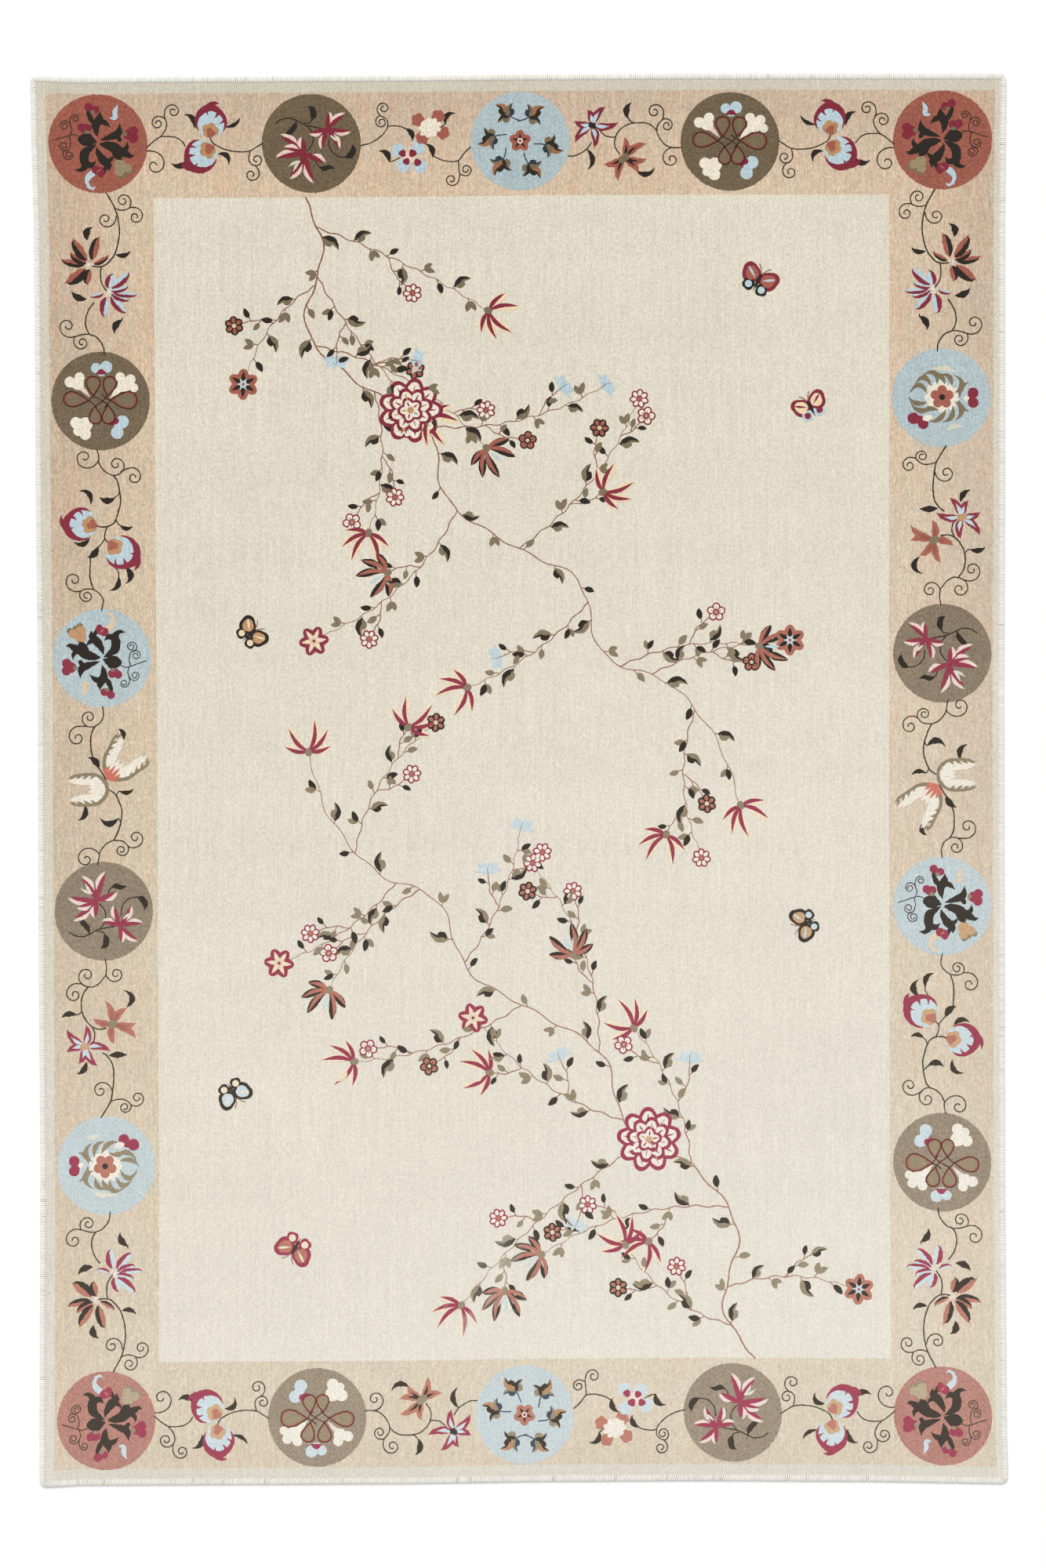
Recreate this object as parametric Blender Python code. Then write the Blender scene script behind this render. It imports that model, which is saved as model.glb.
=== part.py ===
"""A 2.0 x 2.9 m low-pile rug with an overcast yarn edge, lying flat.

Units are metres, +Z is up, +Y runs along the rug's length. The origin is at the
centre of the underside. The cloth is one sheet. Its cut edge is wrapped all the
way round by four runs of overcasting yarn, one a side, which meet on the corner
diagonals with a small gap. The outline is as uneven as the real rug's: each side
has a short table of how far it stands from its nominal line.
"""

import math

import bmesh
import bpy

MM = 0.001

# ---------------------------------------------------------------- driving sizes
WIDTH = 2000 * MM  # nominal, side to side
LENGTH = 2900 * MM  # nominal, end to end
PILE_TOP = 6.2 * MM  # top of the pile above the floor
GAP = 0.3 * MM  # left between touching pieces

ROLL_WIDTH = 13.5 * MM  # overcast edge, seen from above
ROLL_HEIGHT = 8.0 * MM
ROLL_CORNER = 14.5 * MM  # outer corner radius of the edge
SLOT_LOW = 1.6 * MM  # yarn under the cloth's margin
SLOT_HIGH = 6.2 * MM  # underside of the yarn over the margin
SLOT_DEPTH = 10.8 * MM  # how far the cloth goes into the edge
CORNER_STEPS = 4  # stations round each corner, an even number

FLAT_FROM = 40 * MM  # from here inwards the underside lies on the floor
COLUMNS = 12  # cells across the cloth's middle

# How far each side stands from its nominal line, outwards positive along +X or +Y.
# along: place along the side; out: shift of the side at that place.
LEFT_SIDE = [
    {"along": -1450 * MM, "out": 13.5 * MM},
    {"along": -1300 * MM, "out": 13.5 * MM},
    {"along": -813 * MM, "out": 15.1 * MM},
    {"along": -330 * MM, "out": 11.8 * MM},
    {"along": 154 * MM, "out": 10.2 * MM},
    {"along": 638 * MM, "out": 5.4 * MM},
    {"along": 1121 * MM, "out": 2.2 * MM},
    {"along": 1363 * MM, "out": -4.3 * MM},
    {"along": 1450 * MM, "out": -5.9 * MM},
]
RIGHT_SIDE = [
    {"along": -1450 * MM, "out": 5.9 * MM},
    {"along": -1300 * MM, "out": 2.7 * MM},
    {"along": -813 * MM, "out": -0.6 * MM},
    {"along": 154 * MM, "out": -2.2 * MM},
    {"along": 638 * MM, "out": -0.6 * MM},
    {"along": 1121 * MM, "out": -0.6 * MM},
    {"along": 1450 * MM, "out": 2.7 * MM},
]
NEAR_SIDE = [
    {"along": -1000 * MM, "out": -4.8 * MM},
    {"along": -906 * MM, "out": 0.0 * MM},
    {"along": -584 * MM, "out": 1.6 * MM},
    {"along": -261 * MM, "out": 3.2 * MM},
    {"along": 61 * MM, "out": 8.1 * MM},
    {"along": 384 * MM, "out": 9.7 * MM},
    {"along": 706 * MM, "out": 8.1 * MM},
    {"along": 1000 * MM, "out": 3.2 * MM},
]
FAR_SIDE = [
    {"along": -1000 * MM, "out": 0.0 * MM},
    {"along": -906 * MM, "out": -3.2 * MM},
    {"along": -584 * MM, "out": -1.6 * MM},
    {"along": -261 * MM, "out": 0.0 * MM},
    {"along": 61 * MM, "out": 3.2 * MM},
    {"along": 384 * MM, "out": 4.8 * MM},
    {"along": 1000 * MM, "out": 4.8 * MM},
]

# Soft troughs that folding has left across the pile.
# at: where each crosses the middle line; slant: how much further along +Y its
# right end lies than its left; sink: depth; spread: half width.
CREASES = [
    {"at": 1103 * MM, "slant": -6 * MM, "sink": 0.25 * MM, "spread": 40 * MM},
    {"at": 863 * MM, "slant": -14 * MM, "sink": 0.45 * MM, "spread": 42 * MM},
    {"at": 631 * MM, "slant": 8 * MM, "sink": 0.30 * MM, "spread": 40 * MM},
    {"at": 431 * MM, "slant": 10 * MM, "sink": 0.50 * MM, "spread": 38 * MM},
    {"at": 244 * MM, "slant": 6 * MM, "sink": 0.50 * MM, "spread": 34 * MM},
    {"at": 51 * MM, "slant": -5 * MM, "sink": 0.60 * MM, "spread": 32 * MM},
    {"at": -146 * MM, "slant": 10 * MM, "sink": 0.50 * MM, "spread": 30 * MM},
    {"at": -302 * MM, "slant": 12 * MM, "sink": 0.60 * MM, "spread": 34 * MM},
    {"at": -457 * MM, "slant": 4 * MM, "sink": 0.30 * MM, "spread": 36 * MM},
    {"at": -608 * MM, "slant": 8 * MM, "sink": 0.70 * MM, "spread": 26 * MM},
    {"at": -762 * MM, "slant": 18 * MM, "sink": 0.65 * MM, "spread": 26 * MM},
    {"at": -880 * MM, "slant": 6 * MM, "sink": 0.45 * MM, "spread": 26 * MM},
    {"at": -1039 * MM, "slant": 4 * MM, "sink": 0.60 * MM, "spread": 26 * MM},
    {"at": -1112 * MM, "slant": -4 * MM, "sink": 0.45 * MM, "spread": 20 * MM},
]

# Loops of the cloth between its cut edge and its flat middle.
# inset: distance in from the rug's outline; under, top: heights of the two faces.
MARGIN = [
    {"inset": 3.0 * MM, "under": SLOT_LOW + GAP, "top": SLOT_HIGH - GAP},
    {"inset": 13.9 * MM, "under": SLOT_LOW + GAP, "top": SLOT_HIGH - GAP},
    {"inset": 18.0 * MM, "under": 1.5 * MM, "top": PILE_TOP},
    {"inset": 28.0 * MM, "under": 0.6 * MM, "top": PILE_TOP},
]

# Section of the overcast edge: a thick C that is open towards the cloth.
# inset: distance in from the outline; up: height above the floor.
SLOT_END = ROLL_WIDTH - SLOT_DEPTH
ROLL_SECTION = [
    {"inset": ROLL_WIDTH, "up": SLOT_HIGH},
    {"inset": SLOT_END, "up": SLOT_HIGH},
    {"inset": SLOT_END, "up": SLOT_LOW},
    {"inset": ROLL_WIDTH, "up": SLOT_LOW},
    {"inset": 12.9 * MM, "up": 0.6 * MM},
    {"inset": 10.6 * MM, "up": 0.0 * MM},
    {"inset": 4.2 * MM, "up": 0.0 * MM},
    {"inset": 1.2 * MM, "up": 1.3 * MM},
    {"inset": 0.0 * MM, "up": 3.9 * MM},
    {"inset": 1.1 * MM, "up": 6.4 * MM},
    {"inset": 4.0 * MM, "up": 7.8 * MM},
    {"inset": 7.4 * MM, "up": ROLL_HEIGHT},
    {"inset": 11.6 * MM, "up": 7.6 * MM},
]

# colour, roughness of each material
CLOTH_LOOK = {"colour": (0.72, 0.66, 0.55, 1.0), "roughness": 0.95}
YARN_LOOK = {"colour": (0.80, 0.78, 0.72, 1.0), "roughness": 0.90}


# --------------------------------------------------------------------- geometry
def read(table, along):
    """The shift at a place, eased between the rows of a side's table."""
    if along <= table[0]["along"]:
        return table[0]["out"]
    for low, high in zip(table, table[1:]):
        if along <= high["along"]:
            t = (along - low["along"]) / (high["along"] - low["along"])
            t = 0.5 * t + 0.5 * t * t * (3 - 2 * t)
            return low["out"] + (high["out"] - low["out"]) * t
    return table[-1]["out"]


def uneven(x, y):
    """Carries a place on the nominal rectangle to the uneven rug."""
    across = x / WIDTH + 0.5
    along = y / LENGTH + 0.5
    return (
        x + read(LEFT_SIDE, y) * (1 - across) + read(RIGHT_SIDE, y) * across,
        y + read(NEAR_SIDE, x) * (1 - along) + read(FAR_SIDE, x) * along,
    )


def sunk(x, y):
    """Depth of the creases at a nominal place."""
    depth = 0.0
    for crease in CREASES:
        away = y - crease["at"] - crease["slant"] * x / WIDTH
        depth += crease["sink"] * math.exp(-((away / crease["spread"]) ** 2))
    return depth


def stations_across():
    """Nominal X of the cloth's inner grid lines."""
    half = WIDTH / 2 - FLAT_FROM
    return [-half + 2 * half * i / COLUMNS for i in range(COLUMNS + 1)]


def stations_along():
    """Nominal Y of the cloth's inner grid lines: the ends, and three to a crease."""
    half = LENGTH / 2 - FLAT_FROM
    lines = [-half, half, -1290 * MM, 1290 * MM, 985 * MM, 745 * MM, 530 * MM]
    for crease in CREASES:
        for step in (-1, 0, 1):
            lines.append(crease["at"] + step * crease["spread"])
    kept = []
    for line in sorted(lines):
        if not kept or line - kept[-1] > 12 * MM:
            kept.append(line)
    kept[-1] = half
    return kept


def loop_places(inset):
    """Nominal (x, y) round the rug at an inset, anticlockwise from the near left corner's diagonal.

    Each side's places line up with the grid lines; each corner has CORNER_STEPS + 1
    places on an arc about one centre, so loops of every inset correspond."""
    across, along = stations_across(), stations_along()
    half_x, half_y = WIDTH / 2, LENGTH / 2
    radius = max(ROLL_CORNER - inset, 1.0 * MM)
    reach = inset + radius  # how far in from both sides the arc's centre is

    def corner(side_x, side_y, start):
        cx, cy = side_x * (half_x - reach), side_y * (half_y - reach)
        found = []
        for step in range(CORNER_STEPS + 1):
            turn = math.radians(start + 90 * step / CORNER_STEPS)
            found.append((cx + radius * math.cos(turn), cy + radius * math.sin(turn)))
        return found

    near = [(x, -half_y + inset) for x in across[1:-1]]
    right = [(half_x - inset, y) for y in along[1:-1]]
    far = [(x, half_y - inset) for x in reversed(across[1:-1])]
    left = [(-half_x + inset, y) for y in reversed(along[1:-1])]
    half_turn = CORNER_STEPS // 2
    first = corner(-1, -1, 180)
    return (
        first[half_turn:]
        + near
        + corner(1, -1, 270)
        + right
        + corner(1, 1, 0)
        + far
        + corner(-1, 1, 90)
        + left
        + first[:half_turn]
    )


def side_spans():
    """(name, first place, last place) of each side in a loop, diagonal to diagonal."""
    across, along = len(stations_across()) - 2, len(stations_along()) - 2
    spans, at = [], 0
    for name, count in (
        ("near", across),
        ("right", along),
        ("far", across),
        ("left", along),
    ):
        end = at + count + CORNER_STEPS + 1
        spans.append((name, at, end))
        at = end
    return spans


def material(name, look):
    made = bpy.data.materials.new(name)
    made.use_nodes = True
    shader = made.node_tree.nodes["Principled BSDF"]
    shader.inputs["Base Color"].default_value = look["colour"]
    shader.inputs["Roughness"].default_value = look["roughness"]
    shader.inputs["Metallic"].default_value = 0.0
    return made


def add_object(name, bm, look, sharp=35):
    bmesh.ops.recalc_face_normals(bm, faces=bm.faces)
    mesh = bpy.data.meshes.new(name)
    bm.to_mesh(mesh)
    bm.free()
    mesh.materials.append(look)
    mesh.shade_smooth()
    mesh.set_sharp_from_angle(angle=math.radians(sharp))
    made = bpy.data.objects.new(name, mesh)
    bpy.context.scene.collection.objects.link(made)
    return made


def build_cloth(look):
    """The sheet: an inner grid that lies flat, and a margin that runs up into the edge."""
    bm = bmesh.new()
    across, along = stations_across(), stations_along()

    def grid(height_at):
        return [
            [bm.verts.new((*uneven(x, y), height_at(x, y))) for x in across]
            for y in along
        ]

    def rim_of(cells):
        """The grid's outer vertices in a loop's order, with the corners repeated."""
        last_row, last_column = len(along) - 1, len(across) - 1
        near = [cells[0][i] for i in range(1, last_column)]
        right = [cells[j][last_column] for j in range(1, last_row)]
        far = [cells[last_row][i] for i in range(last_column - 1, 0, -1)]
        left = [cells[j][0] for j in range(last_row - 1, 0, -1)]
        half_turn = CORNER_STEPS // 2
        corners = [cells[0][0], cells[0][-1], cells[-1][-1], cells[-1][0]]
        return (
            [corners[0]] * (half_turn + 1)
            + near
            + [corners[1]] * (CORNER_STEPS + 1)
            + right
            + [corners[2]] * (CORNER_STEPS + 1)
            + far
            + [corners[3]] * (CORNER_STEPS + 1)
            + left
            + [corners[0]] * half_turn
        )

    def bridge(outer, inner):
        count = len(outer)
        for i in range(count):
            j = (i + 1) % count
            ring = [outer[i], outer[j], inner[j], inner[i]]
            if inner[i] is inner[j]:
                ring = ring[:3]
            bm.faces.new(ring)

    top = grid(lambda x, y: PILE_TOP - sunk(x, y))
    under = grid(lambda x, y: 0.0)
    for cells in (top, under):
        for low, high in zip(cells, cells[1:]):
            for i in range(len(across) - 1):
                bm.faces.new([low[i], low[i + 1], high[i + 1], high[i]])

    edges = {}
    for face, cells in (("top", top), ("under", under)):
        loops = []
        for row in MARGIN:
            ring = []
            for x, y in loop_places(row["inset"]):
                height = row[face]
                if face == "top" and row["top"] == PILE_TOP:
                    height -= sunk(x, y)
                ring.append(bm.verts.new((*uneven(x, y), height)))
            loops.append(ring)
        for outer, inner in zip(loops, loops[1:]):
            bridge(outer, inner)
        bridge(loops[-1], rim_of(cells))
        edges[face] = loops[0]
    bridge(edges["top"], edges["under"])
    return add_object("rug_cloth", bm, look)


def build_edge(name, first, last, look):
    """One side's run of overcasting yarn, from corner diagonal to corner diagonal."""
    bm = bmesh.new()
    loops = [loop_places(row["inset"]) for row in ROLL_SECTION]
    count = len(loops[0])
    rings = []
    for place in range(first, last + 1):
        ring = []
        for row, loop in zip(ROLL_SECTION, loops):
            x, y = loop[place % count]
            if place in (first, last):
                # step back from the diagonal, along the run, to leave the gap
                turn = 1 if place == first else -1
                corner_x = math.copysign(1, x)
                corner_y = math.copysign(1, y)
                step = turn * GAP / 2 * math.sqrt(0.5)
                x += step * -corner_y
                y += step * corner_x
            ring.append(bm.verts.new((*uneven(x, y), row["up"])))
        rings.append(ring)
    size = len(ROLL_SECTION)
    for low, high in zip(rings, rings[1:]):
        for i in range(size):
            j = (i + 1) % size
            bm.faces.new([low[i], low[j], high[j], high[i]])
    bm.faces.new(rings[0])
    bm.faces.new(rings[-1])
    return add_object("edge_yarn_" + name, bm, look)


def main():
    for old in list(bpy.data.objects):
        bpy.data.objects.remove(old, do_unlink=True)
    build_cloth(material("rug_pile", CLOTH_LOOK))
    yarn = material("edge_yarn", YARN_LOOK)
    for name, first, last in side_spans():
        build_edge(name, first, last, yarn)


main()
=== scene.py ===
import cmath
import math
import random

import bpy
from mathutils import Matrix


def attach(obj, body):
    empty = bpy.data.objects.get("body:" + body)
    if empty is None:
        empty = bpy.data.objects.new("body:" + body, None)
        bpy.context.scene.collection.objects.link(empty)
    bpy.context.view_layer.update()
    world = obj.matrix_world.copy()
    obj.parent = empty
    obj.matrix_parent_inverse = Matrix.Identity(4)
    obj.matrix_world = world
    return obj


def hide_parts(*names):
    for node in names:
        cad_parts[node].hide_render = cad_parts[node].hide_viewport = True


# The rug's look: cloth, knotted pattern and overcast edge, on a pale floor.
# Lengths in this file are millimetres until a mesh is made, which is in metres.

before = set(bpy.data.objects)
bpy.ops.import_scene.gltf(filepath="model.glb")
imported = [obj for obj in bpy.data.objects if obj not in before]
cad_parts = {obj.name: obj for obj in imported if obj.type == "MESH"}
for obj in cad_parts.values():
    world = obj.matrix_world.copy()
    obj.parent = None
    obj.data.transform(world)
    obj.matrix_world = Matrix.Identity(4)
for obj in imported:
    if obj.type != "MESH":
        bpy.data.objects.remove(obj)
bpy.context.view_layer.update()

MM = 0.001
rng = random.Random(7)

# ------------------------------------------------------------ the rug's own sizes
HALF_X, HALF_Y = 1000.0, 1450.0
PILE_TOP = 6.2
CORNER = 14.5

# how far each side stands from its nominal line: (along, out)
LEFT_SIDE = [(-1450, 13.5), (-1300, 13.5), (-813, 15.1), (-330, 11.8), (154, 10.2),
             (638, 5.4), (1121, 2.2), (1363, -4.3), (1450, -5.9)]
RIGHT_SIDE = [(-1450, 5.9), (-1300, 2.7), (-813, -0.6), (154, -2.2), (638, -0.6),
              (1121, -0.6), (1450, 2.7)]
NEAR_SIDE = [(-1000, -4.8), (-906, 0), (-584, 1.6), (-261, 3.2), (61, 8.1), (384, 9.7),
             (706, 8.1), (1000, 3.2)]
FAR_SIDE = [(-1000, 0), (-906, -3.2), (-584, -1.6), (-261, 0), (61, 3.2), (384, 4.8),
            (1000, 4.8)]

# soft troughs left by folding: (at, slant, sink, spread)
CREASES = [
    (1103, -6, 0.25, 40), (863, -14, 0.45, 42), (631, 8, 0.30, 40), (431, 10, 0.50, 38),
    (244, 6, 0.50, 34), (51, -5, 0.60, 32), (-146, 10, 0.50, 30), (-302, 12, 0.60, 34),
    (-457, 4, 0.30, 36), (-608, 8, 0.70, 26), (-762, 18, 0.65, 26), (-880, 6, 0.45, 26),
    (-1039, 4, 0.60, 26), (-1112, -4, 0.45, 20),
]

# loops of the cloth's margin: (inset, under, top)
MARGIN = [(3.0, 1.9, 5.9), (13.9, 1.9, 5.9), (18.0, 1.5, 6.2), (28.0, 0.6, 6.2)]
FLAT_FROM = 40.0

# the bands, nominal: the guard's inner edge, and the field
BORDER_X, BORDER_Y = (-969.0, 976.0), (-1415.0, 1415.0)
FIELD_X, FIELD_Y = (-753.0, 761.0), (-1196.0, 1199.5)


def read(table, along):
    if along <= table[0][0]:
        return table[0][1]
    for (low, a), (high, b) in zip(table, table[1:]):
        if along <= high:
            t = (along - low) / (high - low)
            t = 0.5 * t + 0.5 * t * t * (3 - 2 * t)
            return a + (b - a) * t
    return table[-1][1]


def uneven(x, y):
    across, along = x / 2000 + 0.5, y / 2900 + 0.5
    return (
        x + read(LEFT_SIDE, y) * (1 - across) + read(RIGHT_SIDE, y) * across,
        y + read(NEAR_SIDE, x) * (1 - along) + read(FAR_SIDE, x) * along,
    )


def sunk(x, y):
    depth = 0.0
    for at, slant, sink, spread in CREASES:
        away = (y - at - slant * x / 2000) / spread
        if -3.2 < away < 3.2:
            depth += sink * math.exp(-away * away)
    return depth


def mesh_object(name, verts, faces, smooth=True):
    """verts in millimetres, already on the uneven rug."""
    mesh = bpy.data.meshes.new(name)
    mesh.from_pydata([(x * MM, y * MM, z * MM) for x, y, z in verts], [], faces)
    mesh.update()
    if smooth:
        mesh.shade_smooth()
    made = bpy.data.objects.new(name, mesh)
    bpy.context.scene.collection.objects.link(made)
    return made


# -------------------------------------------------------------- camera and light
scene = bpy.context.scene
scene.view_settings.view_transform = "Standard"

camera_data = bpy.data.cameras.new("camera")
camera_data.lens = 85
camera_data.sensor_fit = "VERTICAL"
camera_data.sensor_height = 36
camera_data.sensor_width = 36
camera_data.clip_end = 60
camera = bpy.data.objects.new("camera", camera_data)
camera.location = (0.00806, -0.00725, 0.006 + 3.224 * 85 / 36)
scene.collection.objects.link(camera)
scene.camera = camera

world = bpy.data.worlds.new("studio")
world.use_nodes = True
world.node_tree.nodes["Background"].inputs["Color"].default_value = (1.0, 0.995, 0.985, 1)
world.node_tree.nodes["Background"].inputs["Strength"].default_value = 0.62
scene.world = world

sun_data = bpy.data.lights.new("soft_key", "SUN")
sun_data.energy = 1.80
sun_data.angle = math.radians(34)
sun_data.color = (1.0, 0.995, 0.985)
sun = bpy.data.objects.new("soft_key", sun_data)
sun.rotation_euler = (math.radians(-34), math.radians(-9), 0)
scene.collection.objects.link(sun)


# --------------------------------------------------------------------- materials
def linear(colour):
    """An sRGB colour in 0 to 255, as the surface colour that renders like it."""
    out = []
    for c in colour:
        c /= 255
        c = c / 12.92 if c <= 0.04045 else ((c + 0.055) / 1.055) ** 2.4
        out.append(min(c / LIGHT, 0.95))
    return (*out, 1.0)


LIGHT = 1.10


class Net:
    """A short hand for making shader nodes."""

    def __init__(self, tree):
        self.tree = tree

    def node(self, kind, **values):
        made = self.tree.nodes.new(kind)
        for key, value in values.items():
            setattr(made, key, value)
        return made

    def put(self, socket, value):
        if isinstance(value, bpy.types.NodeSocket):
            self.tree.links.new(value, socket)
        elif value is not None:
            socket.default_value = value

    def math(self, operation, a, b=None, c=None, clamp=False):
        made = self.node("ShaderNodeMath", operation=operation, use_clamp=clamp)
        for socket, value in zip(made.inputs, (a, b, c)):
            self.put(socket, value)
        return made.outputs[0]

    def mix(self, factor, a, b, kind="MIX"):
        made = self.node("ShaderNodeMix", data_type="RGBA", blend_type=kind)
        self.put(made.inputs[0], factor)
        self.put(made.inputs[6], a)
        self.put(made.inputs[7], b)
        return made.outputs[2]

    def noise(self, where, scale, detail=2.0, rough=0.5, stretch=None):
        if stretch:
            scaled = self.node("ShaderNodeMapping")
            self.put(scaled.inputs["Vector"], where)
            scaled.inputs["Scale"].default_value = stretch
            where = scaled.outputs[0]
        made = self.node("ShaderNodeTexNoise")
        self.put(made.inputs["Vector"], where)
        made.inputs["Scale"].default_value = scale
        made.inputs["Detail"].default_value = detail
        made.inputs["Roughness"].default_value = rough
        return made.outputs[0]

    def spread(self, value, low, high, out_low, out_high):
        made = self.node("ShaderNodeMapRange")
        self.put(made.inputs[0], value)
        for socket, number in zip(made.inputs[1:5], (low, high, out_low, out_high)):
            socket.default_value = number
        return made.outputs[0]


# a pale colour: painted sheen in the brush marks, and the colour of the real lint specks
PALE_SHEEN_AND_LINT = linear((238, 235, 221))

# painted sheen: how far the colour is lightened from the far end (0) to the near end (1),
# where the leaning pile catches the light: for the pattern's yarns, and for the plain ground
PAINTED_SHEEN_RAMP = [(0.0, 0.0), (0.13, 0.07), (0.24, 0.13), (0.36, 0.28), (0.44, 0.50),
          (0.56, 0.66), (0.83, 0.88), (1.0, 1.0)]
GROUND_PAINTED_SHEEN_RAMP = [(0.0, 0.0), (0.20, 0.05), (0.42, 0.26), (0.62, 0.47), (0.80, 0.60), (1.0, 0.82)]
DARK_PAINTED_SHEEN_RAMP = [(0.0, 0.0), (0.30, 0.03), (0.44, 0.12), (0.60, 0.46), (0.80, 0.74), (1.0, 0.83)]


def add_painted_sheen(net, colour, x, y, table, slant, painted_sheen_lift):
    """Painted sheen: the colour lightens towards the near end as the leaning pile catches the light; dark yarns pale
    the most.
    """
    place = net.math("ADD", net.math("MULTIPLY", y, -1.0), net.math("MULTIPLY", x, slant))
    place = net.spread(place, -1.3114, 1.3286, 0.0, 1.0)
    ramp = net.node("ShaderNodeValToRGB")
    while len(ramp.color_ramp.elements) < len(table):
        ramp.color_ramp.elements.new(0.5)
    for stop, (where, value) in zip(ramp.color_ramp.elements, table):
        stop.position = where
        stop.color = (value, value, value, 1)
    net.put(ramp.inputs[0], place)
    amount = channel(net, ramp.outputs[0], 0)

    body = net.node("ShaderNodeGamma")
    net.put(body.inputs[0], colour)
    body.inputs[1].default_value = 0.7
    turned = net.node("ShaderNodeInvert")
    net.put(turned.inputs["Color"], colour)
    room = net.node("ShaderNodeGamma")
    net.put(room.inputs[0], turned.outputs[0])
    room.inputs[1].default_value = 1.6
    lift = net.mix(1.0, body.outputs[0], room.outputs[0], "MULTIPLY")
    lift = net.mix(1.0, lift, (*painted_sheen_lift, 1), "MULTIPLY")
    return net.mix(amount, colour, net.mix(1.0, colour, lift, "ADD"))


def pile_finish(net, shader, colour, depth=1.0, heather=0.10, painted_sheen_ramp=PAINTED_SHEEN_RAMP, slant=0.12,
                painted_sheen_lift=(0.70, 0.70, 0.70), mottle=0.018):
    """Heathered wool pile: speckle, weave lines, soft blotches, painted shade and sheen in bands
    across, painted sheen that lightens it towards the near end where the pile leans away, brush
    marks partly painted as pale sheen, lint and a knotted relief."""
    where = net.node("ShaderNodeTexCoord").outputs["Object"]
    parts = net.node("ShaderNodeSeparateXYZ")
    net.put(parts.inputs[0], where)
    x, y = parts.outputs[0], parts.outputs[1]

    speckle = net.noise(where, 285, 2.0, 0.65, (1.0, 0.66, 1.0))
    lines = net.noise(where, 520, 1.0, 0.5, (1.0, 0.035, 1.0))
    strands = net.noise(where, 170, 1.0, 0.5, (1.0, 0.02, 1.0))
    blotch = net.noise(where, 6.5 if mottle < 0.02 else 26.0, 3.0, 0.5, (1.0, 0.6, 1.0))
    tone = net.spread(speckle, 0.3, 0.7, 1 - heather, 1 + heather)
    tone = net.math("MULTIPLY", tone, net.spread(lines, 0.3, 0.7, 0.945, 1.055))
    tone = net.math("MULTIPLY", tone, net.spread(strands, 0.3, 0.7, 0.968, 1.032))
    tone = net.math("MULTIPLY", tone, net.spread(blotch, 0.3, 0.7, 1 - mottle, 1 + mottle))

    # painted shade and sheen: faint bands across, where the folded cloth's pile lies another way
    bands = net.noise(where, 9.0, 2.0, 0.5, (0.05, 1.0, 1.0))
    tone = net.math("MULTIPLY", tone, net.spread(bands, 0.3, 0.7, 0.985, 1.018))
    colour = net.mix(1.0, colour, shade(net, tone), "MULTIPLY")
    # painted sheen: lighter towards the near end, where the leaning pile catches the light
    colour = add_painted_sheen(net, colour, x, y, painted_sheen_ramp, slant, painted_sheen_lift)

    # brush marks near the near end: real brushed nap, painted as pale sheen streaks
    dx = net.math("DIVIDE", net.math("ADD", x, 0.148), 0.24)
    dy = net.math("DIVIDE", net.math("ADD", y, 1.023), 0.15)
    reach = net.math("ADD", net.math("MULTIPLY", dx, dx), net.math("MULTIPLY", dy, dy))
    inside = net.spread(reach, 1.0, 0.2, 0.0, 1.0)
    turned = net.node("ShaderNodeMapping")
    net.put(turned.inputs[0], where)
    turned.inputs["Rotation"].default_value = (0, 0, math.radians(38))
    strokes = net.noise(turned.outputs[0], 26, 3.0, 0.6, (1.0, 0.22, 1.0))
    brush_sheen = net.math("MULTIPLY", inside, net.spread(strokes, 0.48, 0.66, 0.0, 0.30))
    colour = net.mix(brush_sheen, colour, PALE_SHEEN_AND_LINT)

    # lint
    lint = net.node("ShaderNodeTexVoronoi")
    net.put(lint.inputs["Vector"], where)
    lint.inputs["Scale"].default_value = 30
    kept = net.math("GREATER_THAN", channel(net, lint.outputs["Color"], 0), 0.86)
    speck = net.math("LESS_THAN", lint.outputs["Distance"], 0.030)
    colour = net.mix(net.math("MULTIPLY", net.math("MULTIPLY", kept, speck), 0.65), colour, PALE_SHEEN_AND_LINT)
    net.put(shader.inputs["Base Color"], colour)

    rough = net.spread(speckle, 0.3, 0.7, 0.88, 1.0)
    net.put(shader.inputs["Roughness"], rough)
    shader.inputs["Sheen Weight"].default_value = 0.10
    shader.inputs["Sheen Roughness"].default_value = 0.6
    shader.inputs["Specular IOR Level"].default_value = 0.12

    knots = net.node("ShaderNodeTexVoronoi")
    scaled = net.node("ShaderNodeMapping")
    net.put(scaled.inputs[0], where)
    scaled.inputs["Scale"].default_value = (1.0, 0.72, 1.0)
    net.put(knots.inputs["Vector"], scaled.outputs[0])
    knots.inputs["Scale"].default_value = 460
    knots.inputs["Randomness"].default_value = 0.75
    height = net.math("ADD", net.math("MULTIPLY", speckle, 0.8), knots.outputs["Distance"])
    height = net.math("ADD", height, net.math("MULTIPLY", lines, 0.7))
    bump = net.node("ShaderNodeBump")
    bump.inputs["Strength"].default_value = 0.55
    bump.inputs["Distance"].default_value = 0.0009 * depth
    net.put(bump.inputs["Height"], height)
    net.put(shader.inputs["Normal"], bump.outputs[0])


def shade(net, tone):
    made = net.node("ShaderNodeCombineXYZ")
    for socket in made.inputs:
        net.put(socket, tone)
    return made.outputs[0]


def channel(net, colour, index):
    made = net.node("ShaderNodeSeparateColor")
    net.put(made.inputs[0], colour)
    return made.outputs[index]


def new_material(name):
    made = bpy.data.materials.new(name)
    made.use_nodes = True
    return made, Net(made.node_tree), made.node_tree.nodes["Principled BSDF"]


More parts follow.
